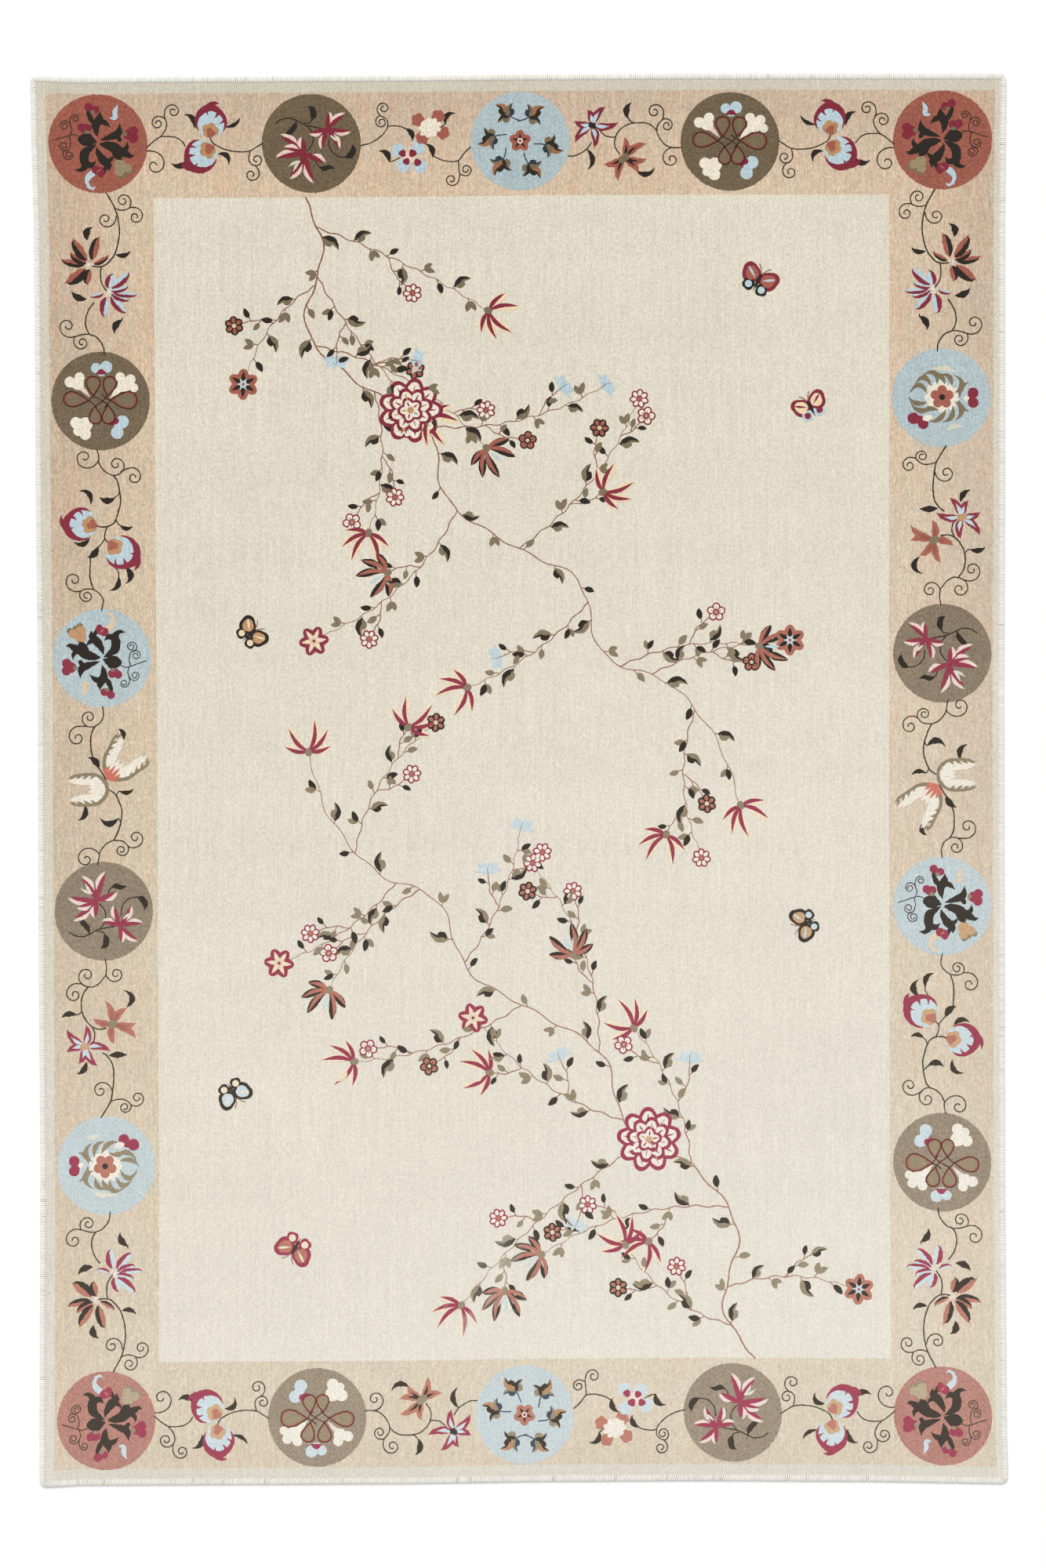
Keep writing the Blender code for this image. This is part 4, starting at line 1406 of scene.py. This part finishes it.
def disc(ground, filling, at, turn, flip):
    out = fan(at, DISC_R, ground, 1, rough=0.006, count=210)
    drawn = {
        "pinwheel": pinwheel, "spray": spray_disc, "sprigs": sprig_disc,
        "knot": knot_disc, "wreath": wreath_disc,
    }[filling]()
    swap = None
    if ground == "disc_sky" and filling == "pinwheel":
        swap = {"sky": "ochre_pale"}
    elif filling == "pinwheel":
        swap = {"ochre": "moss"}
    return out + moved(drawn, at, turn, 1.0, flip, swap)


def border():
    out = []
    place = {}
    for d in DISCS:
        at = disc_place(d["column"], d["row"])
        out += disc(d["ground"], d["filling"], at, d["turn"], d["flip"])
        # the far corner of the point: the same disc, half a turn on
        if (d["column"], d["row"]) in ((2, 0), (0, 0), (1, 0), (3, 0), (4, 0)):
            other = disc_place(MIRROR_OF[d["column"]], 5)
            if d["column"] not in (0, 4):
                out += disc(d["ground"], d["filling"], other, d["turn"] + 180, d["flip"])
        if d["column"] == 0 and d["row"] in (1, 2, 3, 4):
            other = disc_place(4, 5 - d["row"])
            out += disc(d["ground"], d["filling"], other, d["turn"] + 180, d["flip"])
    out += disc("disc_rust", "pinwheel", disc_place(4, 5), 180, False)

    runs = [
        (spray_fruit_across, (0, 0), (1, 0), False),
        (spray_lobes_across, (1, 0), (2, 0), False),
        (spray_stars_across, (2, 0), (3, 0), False),
        (spray_fruit_across, (4, 0), (3, 0), True),
        (spray_split_down, (0, 0), (0, 1), False),
        (spray_fruit_down, (0, 1), (0, 2), False),
        (spray_cups_down, (0, 2), (0, 3), False),
        (spray_stars_down, (0, 3), (0, 4), False),
        (spray_split_down, (0, 5), (0, 4), True),
    ]
    for draw, first, last, flip in runs:
        for half_turn in (False, True):
            shapes, end = draw()
            if half_turn:
                a, b = ((4 - c, 5 - r) for c, r in (first, last))
            else:
                a, b = first, last
            out += between(shapes, end, disc_place(*a), disc_place(*b), flip)
    return out


# ------------------------------------------------------------------- the field
# A plain generic design: two wandering stems with side twigs, leaves, round
# blossoms and butterflies.

def line_of(points, sway=2.4, wave=52.0, phase=0.0, step=4.2):
    line = smooth(points, step)
    last = len(line) - 1
    out = []
    for i, p in enumerate(line):
        way = line[min(i + 1, last)] - line[max(i - 1, 0)]
        way /= abs(way)
        fade = min(1.0, i / 5, (last - i) / 5)
        out.append(p + 1j * way * sway * fade * math.sin(2 * math.pi * i * step / wave + phase))
    return out


def heading_at(line, share):
    i = min(len(line) - 2, max(1, round(share * (len(line) - 1))))
    return line[i], math.degrees(cmath.phase(line[i + 1] - line[i - 1]))


def plum(at, r, turn, rim="maroon", fill="cream", heart="ochre"):
    """Five round petals, outlined, with short stamens."""
    out = []
    for i in range(5):
        deg = turn + 72 * i
        c = at + polar(r * 0.56, deg)
        out += fan(c, r * 0.43, rim, 3, count=15, rough=0.03)
        out += fan(c, r * 0.28, fill, 4, count=12, rough=0.05)
        out += blade(at, at + polar(r * 0.55, deg), r * 0.12, rim, 5, belly=0.5)
    out += fan(at, r * 0.19, heart, 6, count=10)
    return out


def rosette(at, r, turn, rim="maroon", fill="cream", heart="rust", petals=7):
    """A small many-petalled blossom."""
    out = fan(at, r, rim, 3, wave_lobes(petals, 0.30), turn=turn, count=petals * 7)
    for i in range(petals):
        deg = turn + 360 / petals * i
        out += fan(at + polar(r * 0.58, deg), r * 0.20, fill, 4, stretch=1.4, turn=deg, count=9)
    out += fan(at, r * 0.24, heart, 5, count=10)
    return out


def peony(at, r, turn):
    """A full round blossom in rings of outlined petals."""
    out = []
    for ring, (reach, size, petals) in enumerate(
        ((0.72, 0.30, 9), (0.47, 0.25, 8), (0.23, 0.19, 5))
    ):
        for i in range(petals):
            deg = turn + 360 / petals * (i + 0.5 * ring)
            c = at + polar(r * reach, deg)
            out += fan(c, r * size, "maroon", 3 + 2 * ring, wave_lobes(3, 0.16), turn=deg, count=21)
            out += fan(
                c - polar(r * 0.03, deg), r * size * 0.66, "cream", 4 + 2 * ring,
                wave_lobes(3, 0.14), turn=deg, count=18,
            )
            out += blade(
                at + polar(r * (reach - size * 0.6), deg), at + polar(r * (reach + size * 0.3), deg),
                r * 0.05, "ochre" if i % 2 else "maroon", 5 + 2 * ring, belly=0.4,
            )
    out += fan(at, r * 0.10, "ochre", 10, count=10)
    return out


def palmette(at, aim, size, root="maroon", tip="cream_warm", gap=None):
    """A side-on blossom: curved petals fanned from a small calyx."""
    out = []
    for i, (deg, reach) in enumerate(((-74, 0.72), (-38, 0.92), (-6, 1.0), (28, 0.94), (66, 0.76))):
        bow = -0.14 if deg < 0 else 0.14
        end = polar(size * reach, deg)
        if gap:
            out += blade(polar(size * 0.15, deg + 16), polar(size * 0.66 * reach, deg + 18), size * 0.10, gap, 3)
        out += blade(0j, end, size * 0.25, tip, 3, bend=bow, belly=0.58, hook=bow, power=0.8)
        out += blade(0j, end * 0.97 + 1j * end / abs(end) * size * 0.03, size * 0.13, root, 4,
                     bend=bow * 1.3, belly=0.4, hook=bow * 1.2)
    out += fan(complex(-size * 0.04, 0), size * 0.11, "olive", 5, wave_lobes(3, 0.2), stretch=1.3)
    return moved(out, at, aim)


def anemone(at, r, turn, petal="rust", root="ink", heart="sky"):
    """Six broad petals, dark at the root, about a pale heart."""
    out = []
    for i in range(6):
        deg = turn + 60 * i
        out += fan(at + polar(r * 0.60, deg), r * 0.34, petal, 3, wave_lobes(3, 0.2), turn=deg, count=21)
        out += blade(at + polar(r * 0.15, deg), at + polar(r * 0.78, deg), r * 0.26, root, 4, belly=0.35)
    out += fan(at, r * 0.27, heart, 5, wave_lobes(6, 0.34), turn=turn + 30, count=24)
    out += fan(at, r * 0.10, petal, 6, count=9)
    return out


def fan_leaf(base, aim, size):
    """A pale fan-shaped leaf, slit in the middle, with a brown rib."""
    def shape(a):
        deg = math.degrees(a)
        deg = deg - 360 if deg > 180 else deg
        if abs(deg) > 82:
            return 0.12
        return (0.86 + 0.12 * math.cos(math.radians(deg * 9))) * (1 - 0.42 * math.exp(-((deg - 4) / 7) ** 2))

    out = fan(0j, size, "sky", 3, shape, count=54, rough=0.04)
    out += [band([complex(-2, 0), complex(size * 0.3, 1), complex(size * 0.62, -1)], "vine", 4, 1.8, taper=True)]
    return moved(out, base, aim)


def oval(base, aim, length, width, yarn="olive", level=3):
    return blade(base, base + polar(length, aim), width, yarn, level, bend=0.06, belly=0.45, power=0.7)


def two_tone(base, aim, length, width, a="ink", b="olive"):
    """A leaf of two lobes, one in each yarn: a long one with a hooked tip and a short
    round one beside it."""
    hand = 1 if round(aim) % 2 else -1
    up = 1j * hand * width
    out = ribbon(
        [0j, length * 0.20 + up * 0.16, length * 0.48 + up * 0.26, length * 0.78 + up * 0.12, length * 1.02 - up * 0.16],
        [width * 0.26, width * 0.50, width * 0.54, width * 0.30, 0.9], b, 3,
    )
    out += ribbon(
        [length * 0.04 - up * 0.06, length * 0.26 - up * 0.26, length * 0.46 - up * 0.22],
        [width * 0.20, width * 0.48, width * 0.40], a, 3,
    )
    out += ribbon(
        [length * 0.30 - up * 0.02, length * 0.58 + up * 0.02, length * 0.80 - up * 0.06, length * 1.0 - up * 0.16],
        [1.0, width * 0.22, width * 0.14, 0.8], a, 4,
    )
    return moved(out, base, aim)


def leaves_on(line, count, first=0.15, last=0.92, size=1.0, kinds=("pair", "two", "oval"), hand=1):
    out = []
    size *= 1.14
    for k in range(count):
        share = first + (last - first) * (k + 0.5) / count
        at, way = heading_at(line, share)
        hand = -hand
        lean = rng.uniform(42, 66)
        stalk = rng.uniform(6, 11)
        kind = kinds[k % len(kinds)]
        foot = at + polar(stalk, way + hand * lean)
        out.append(band([at, (at + foot) / 2, foot + polar(2, way + hand * lean)], "vine", 2, 1.9))
        if kind == "two":
            long = rng.uniform(27, 34) * size
            a, b = ("ink", "olive") if k % 2 else ("olive", "ink")
            out += two_tone(foot, way + hand * (lean - 12), long, long * 0.62, a, b)
        elif kind == "oval":
            long = rng.uniform(18, 23) * size
            out += oval(foot, way + hand * lean, long, long * 0.55, "olive")
        elif kind == "dark":
            long = rng.uniform(18, 23) * size
            out += oval(foot, way + hand * lean, long, long * 0.52, "ink")
        elif kind == "fan":
            out += fan_leaf(foot, way + hand * lean, 27 * size)
        else:
            long = rng.uniform(17, 21) * size
            out += oval(foot, way + hand * (lean + 22), long, long * 0.55, "olive")
            out += oval(foot, way + hand * (lean - 30), long * 1.1, long * 0.55, "ink" if k % 3 == 0 else "olive")
    return out


def blossom(kind, at, aim, turn):
    if kind == "plum":
        return plum(at + polar(17, aim), 20, turn)
    if kind == "plum_rust":
        return plum(at + polar(17, aim), 20, turn, "ink", "rust", "ochre_pale")
    if kind == "rosette":
        return rosette(at + polar(15, aim), 20, turn)
    if kind == "rosette_dark":
        return rosette(at + polar(15, aim), 20, turn, "ink", "rust", "ochre_pale", 6)
    if kind == "peony":
        return peony(at + polar(34, aim), 62, turn)
    if kind == "palmette":
        return palmette(at, aim, 66)
    if kind == "palmette_dark":
        return palmette(at, aim, 64, "rust", "ink", "sky")
    if kind == "anemone":
        return anemone(at + polar(24, aim), 34, turn)
    if kind == "anemone_red":
        return anemone(at + polar(24, aim), 33, turn, "maroon", "cream_warm", "ochre_pale")
    if kind == "fan":
        return fan_leaf(at, aim, 30)
    if kind == "leaf":
        return two_tone(at, aim, 32, 19)
    return []


def twig(base, heading, reach, bend, tip, leaves, kinds=("pair", "two", "oval"), extra=(), width=2.4):
    """A side twig with its leaves, its end blossom and smaller twigs.
    extra: rows of share, side, reach, kind."""
    reach, leaves = reach * 1.24, leaves + 2
    pts, way = [base], heading
    for i in range(5):
        way += bend / 5
        pts.append(pts[-1] + polar(reach / 5, way))
    line = line_of(pts, sway=2.0, wave=44, phase=heading)
    out = [band(line, "vine", 2, width, taper=True)]
    out += leaves_on(line, leaves, kinds=kinds, hand=1 if bend > 0 else -1)
    at, way = heading_at(line, 0.99)
    out += blossom(tip, line[-1], way, heading)
    for share, side, far, kind in extra:
        at, way = heading_at(line, share)
        far *= 1.2
        sub = line_of(
            [at, at + polar(far * 0.5, way + side * 48), at + polar(far, way + side * 36)],
            sway=1.2, wave=30,
        )
        out.append(band(sub, "vine", 2, 2.0))
        out += leaves_on(sub, 2, 0.25, 0.85, 0.9, ("oval", "dark"), hand=side)
        _, end_way = heading_at(sub, 0.98)
        out += blossom(kind, sub[-1], end_way, way)
    return out


def butterfly(at, turn, size, upper="rust", lower="ink", spot="sky", edge="maroon"):
    out = []
    for side in (-1, 1):
        out += fan(complex(8, side * 15), 15, edge, 3, wave_lobes(3, 0.18), stretch=1.15, turn=side * 38, count=27)
        out += fan(complex(8, side * 14), 10, upper, 4, wave_lobes(3, 0.16), stretch=1.15, turn=side * 38, count=20)
        out += blade(complex(4, side * 6), complex(15, side * 23), 4, spot, 5, belly=0.6)
        out += fan(complex(-9, side * 11), 10, lower, 3, wave_lobes(4, 0.2), turn=side * 30, count=22)
        out += fan(complex(-9, side * 11), 5.5, spot, 4, count=12)
        out += [band([complex(12, side * 1), complex(20, side * 4), complex(26, side * 10)], "vine", 4, 1.5)]
    out += blade(-15 + 0j, 15 + 0j, 5.5, "ink", 6, belly=0.6)
    return moved(out, at, turn, size)


VINES = [
    [480 - 1198j, 415 - 1090j, 445 - 930j, 350 - 800j, 215 - 715j, 165 - 570j, 15 - 475j,
     -110 - 395j, -175 - 250j, -300 - 190j, -400 - 70j, -440 + 60j],
    [-440 + 1201j, -405 + 1085j, -440 + 930j, -330 + 815j, -190 + 730j, -150 + 575j, 0 + 470j,
     120 + 405j, 170 + 255j, 310 + 190j, 405 + 75j, 455 - 60j],
]

# vine, share along it, side, lean, reach, bend, end, leaves, small twigs
TWIGS = [
    (0, 0.05, 1, 40, 230, -46, "palmette", 5, ((0.35, -1, 60, "rosette"), (0.62, 1, 55, "rosette_dark"))),
    (0, 0.10, -1, 50, 205, -40, "anemone", 4, ((0.5, 1, 60, "leaf"),)),
    (0, 0.20, 1, 62, 330, 38, "palmette_dark", 6, ((0.30, 1, 70, "palmette"), (0.55, -1, 52, "rosette"), (0.74, -1, 45, "rosette_dark"))),
    (0, 0.27, -1, 48, 250, 34, "palmette", 5, ((0.42, -1, 70, "fan"), (0.70, 1, 56, "plum"))),
    (0, 0.37, 1, 58, 290, -36, "anemone_red", 6, ((0.35, -1, 66, "fan"), (0.66, 1, 58, "palmette"))),
    (0, 0.46, -1, 60, 330, 42, "rosette", 6, ((0.35, 1, 62, "palmette_dark"), (0.62, -1, 60, "rosette"), (0.82, 1, 40, "rosette_dark"))),
    (0, 0.57, 1, 54, 300, -30, "palmette", 6, ((0.38, 1, 60, "plum_rust"), (0.66, -1, 64, "plum"))),
    (0, 0.66, -1, 62, 240, 30, "fan", 5, ((0.45, 1, 60, "fan"), (0.72, -1, 48, "rosette"))),
    (0, 0.77, 1, 60, 230, 36, "palmette_dark", 5, ((0.5, -1, 60, "plum"),)),
    (0, 0.33, 1, 50, 420, 22, "palmette", 8, ((0.32, 1, 60, "fan"), (0.55, -1, 56, "rosette"), (0.76, 1, 56, "palmette_dark"))),
    (0, 0.80, 1, 62, 220, -30, "anemone_red", 4, ((0.5, -1, 56, "rosette"),)),
    (0, 0.86, -1, 52, 250, -44, "rosette_dark", 5, ((0.45, -1, 54, "rosette"), (0.70, 1, 58, "palmette"))),
    (1, 0.04, 1, 44, 320, -14, "palmette", 6, ((0.40, -1, 62, "rosette"),)),
    (1, 0.11, -1, 50, 190, 40, "anemone", 4, ((0.5, -1, 56, "rosette_dark"),)),
    (1, 0.19, 1, 56, 340, -40, "palmette_dark", 6, ((0.30, 1, 66, "fan"), (0.52, -1, 60, "leaf"), (0.76, 1, 44, "rosette"))),
    (1, 0.28, -1, 52, 240, -34, "palmette", 5, ((0.45, 1, 62, "rosette"), (0.70, -1, 56, "plum"))),
    (1, 0.36, 1, 60, 300, 36, "fan", 6, ((0.32, -1, 64, "plum_rust"), (0.62, 1, 58, "fan"))),
    (1, 0.47, -1, 58, 310, -42, "anemone_red", 6, ((0.36, -1, 60, "palmette_dark"), (0.64, 1, 56, "rosette"))),
    (1, 0.56, 1, 52, 310, 32, "rosette", 6, ((0.36, -1, 62, "palmette"), (0.60, 1, 60, "rosette_dark"), (0.82, -1, 42, "plum"))),
    (1, 0.67, -1, 62, 250, -30, "palmette", 5, ((0.48, -1, 58, "fan"),)),
    (1, 0.76, 1, 58, 240, -36, "palmette_dark", 5, ((0.5, 1, 58, "plum"),)),
    (1, 0.10, 1, 34, 300, 20, "palmette", 7, ((0.30, -1, 60, "fan"), (0.58, 1, 56, "rosette_dark"), (0.80, -1, 50, "plum"))),
    (1, 0.80, 1, 58, 220, -26, "anemone", 4, ((0.5, -1, 56, "plum_rust"),)),
    (1, 0.87, -1, 54, 240, 44, "rosette", 5, ((0.45, 1, 54, "rosette_dark"), (0.70, -1, 56, "palmette"))),
]

BUTTERFLIES = [
    (490 + 1020j, 62, 1.35, "rust", "ink", "sky", "maroon"),
    (600 + 760j, 118, 1.25, "cream_warm", "sky", "maroon", "maroon"),
    (-560 + 300j, 40, 1.2, "ochre", "ink", "cream_warm", "ink"),
    (-470 - 960j, 240, 1.35, "rust", "maroon", "cream_warm", "maroon"),
    (-600 - 640j, 300, 1.25, "sky", "ink", "cream_warm", "ink"),
    (590 - 300j, 205, 1.2, "ochre", "ink", "sky", "ink"),
]


def field():
    out = []
    lines = []
    for n, points in enumerate(VINES):
        line = line_of(points, sway=3.4, wave=96, phase=n)
        lines.append(line)
        out.append(band(line, "vine", 2, 3.2, taper=True))
        out += leaves_on(line, 22, 0.03, 0.97, 1.0, ("two", "pair", "oval", "two", "dark"), hand=1 - 2 * n)
        _, way = heading_at(line, 0.99)
        out += blossom("palmette", line[-1], way, 10)
    for vine, share, side, lean, reach, bend, end, leaves, extra in TWIGS:
        at, way = heading_at(lines[vine], share)
        out += twig(at, way + side * lean, reach, bend, end, leaves, extra=extra,
                    kinds=("pair", "two", "oval") if leaves % 2 else ("two", "pair", "dark"))
    for vine, share, turn in ((0, 0.33, 12), (1, 0.33, 40)):
        at, _ = heading_at(lines[vine], share)
        out += peony(at, 66, turn)
    for row in BUTTERFLIES:
        out += butterfly(*row)
    return out


# ------------------------------------------------------------ the knotted pattern
# Each yarn of the pattern, in sRGB as it looks at the far end of the rug.
YARNS = {
    "maroon": (130, 42, 58), "ink": (44, 38, 32), "olive": (122, 108, 84),
    "olive_light": (122, 106, 82), "moss": (156, 138, 108), "sky": (186, 206, 214), "rust": (162, 92, 76),
    "rust_dim": (140, 78, 62), "rust_bright": (196, 96, 78), "ochre": (186, 140, 98),
    "ochre_dark": (160, 108, 74), "ochre_pale": (222, 192, 156), "cream": (236, 227, 208),
    "cream_dim": (214, 210, 190), "cream_warm": (238, 214, 176), "blush": (232, 204, 192),
    "plum": (64, 32, 26), "navy": (48, 56, 66), "thread": (52, 44, 36), "vine": (138, 92, 76),
    "disc_rust": (158, 92, 76), "disc_olive": (112, 96, 74), "disc_sky": (176, 192, 196),
}
# the broad grounds of the discs are more mottled than the small shapes; each yarn also has its own amount of painted
# sheen
FINISH = {
    "disc_rust": {"heather": 0.34, "mottle": 0.06, "painted_sheen_lift": (0.66, 0.84, 0.96)},
    "disc_olive": {"heather": 0.36, "mottle": 0.05, "painted_sheen_lift": (0.96, 0.99, 1.12)},
    "disc_sky": {"heather": 0.22, "mottle": 0.03},
    "ink": {"heather": 0.10, "painted_sheen_ramp": DARK_PAINTED_SHEEN_RAMP},
    "thread": {"heather": 0.10, "painted_sheen_ramp": DARK_PAINTED_SHEEN_RAMP},
    "navy": {"heather": 0.10, "painted_sheen_ramp": DARK_PAINTED_SHEEN_RAMP},
    "plum": {"heather": 0.10, "painted_sheen_ramp": DARK_PAINTED_SHEEN_RAMP},
}
LIFT, STEP = 0.12, 0.09


def knit(shapes):
    """Turns the drawing into one closed mesh a yarn, lying in the cloth's top."""
    piles = {}
    for number, (yarn, level, kind, a, b) in enumerate(shapes):
        verts, faces = piles.setdefault(yarn, ([], []))
        lift = LIFT + STEP * level + 0.008 * (number % 11)

        def add(p, top):
            x, y = p.real, p.imag
            surface = PILE_TOP - sunk(x, y)
            verts.append((*uneven(x, y), surface + (lift if top else -0.8)))
            return len(verts) - 1

        if kind == "strip":
            up = [(add(p, True), add(q, True)) for p, q in zip(a, b)]
            down = [(add(p, False), add(q, False)) for p, q in zip(a, b)]
            for i in range(len(up) - 1):
                (l0, r0), (l1, r1) = up[i], up[i + 1]
                (m0, s0), (m1, s1) = down[i], down[i + 1]
                faces.append((l0, r0, r1, l1))
                faces.append((m0, m1, s1, s0))
                faces.append((l0, l1, m1, m0))
                faces.append((r0, s0, s1, r1))
            (l0, r0), (m0, s0) = up[0], down[0]
            (l1, r1), (m1, s1) = up[-1], down[-1]
            faces.append((l0, m0, s0, r0))
            faces.append((l1, r1, s1, m1))
            continue
        reach = max(abs(p - a) for p in b)
        rings = max(1, math.ceil(reach / 14.0))
        count = len(b)
        hub = add(a, True)
        last = None
        for k in range(1, rings + 1):
            ring = [add(a + (p - a) * k / rings, True) for p in b]
            for i in range(count):
                j = (i + 1) % count
                if last is None:
                    faces.append((hub, ring[i], ring[j]))
                else:
                    faces.append((last[i], ring[i], ring[j], last[j]))
            last = ring
        foot_hub = add(a, False)
        foot = [add(p, False) for p in b]
        for i in range(count):
            j = (i + 1) % count
            faces.append((last[i], foot[i], foot[j], last[j]))
            faces.append((foot_hub, foot[j], foot[i]))
    made = []
    for yarn in sorted(piles):
        verts, faces = piles[yarn]
        piece = mesh_object("pile_" + yarn, verts, faces, smooth=False)
        fix_normals(piece)
        piece.data.materials.append(yarn_material("wool_" + yarn, YARNS[yarn], **FINISH.get(yarn, {"heather": 0.20})))
        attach(piece, "root")
        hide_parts("rug_cloth")
        made.append(piece)
    return made


def main():
    add_floor()
    cloth = build_cloth()
    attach(cloth, "root")
    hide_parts("rug_cloth")
    wool = edge_material()
    edges = [build_edge(side, wool) for side in ("near", "right", "far", "left")]
    pattern = knit(border() + field())
    for piece in [cloth] + edges + pattern:
        print(piece.name, len(piece.data.vertices), "vertices",
              sum(len(p.vertices) - 2 for p in piece.data.polygons), "triangles")


main()
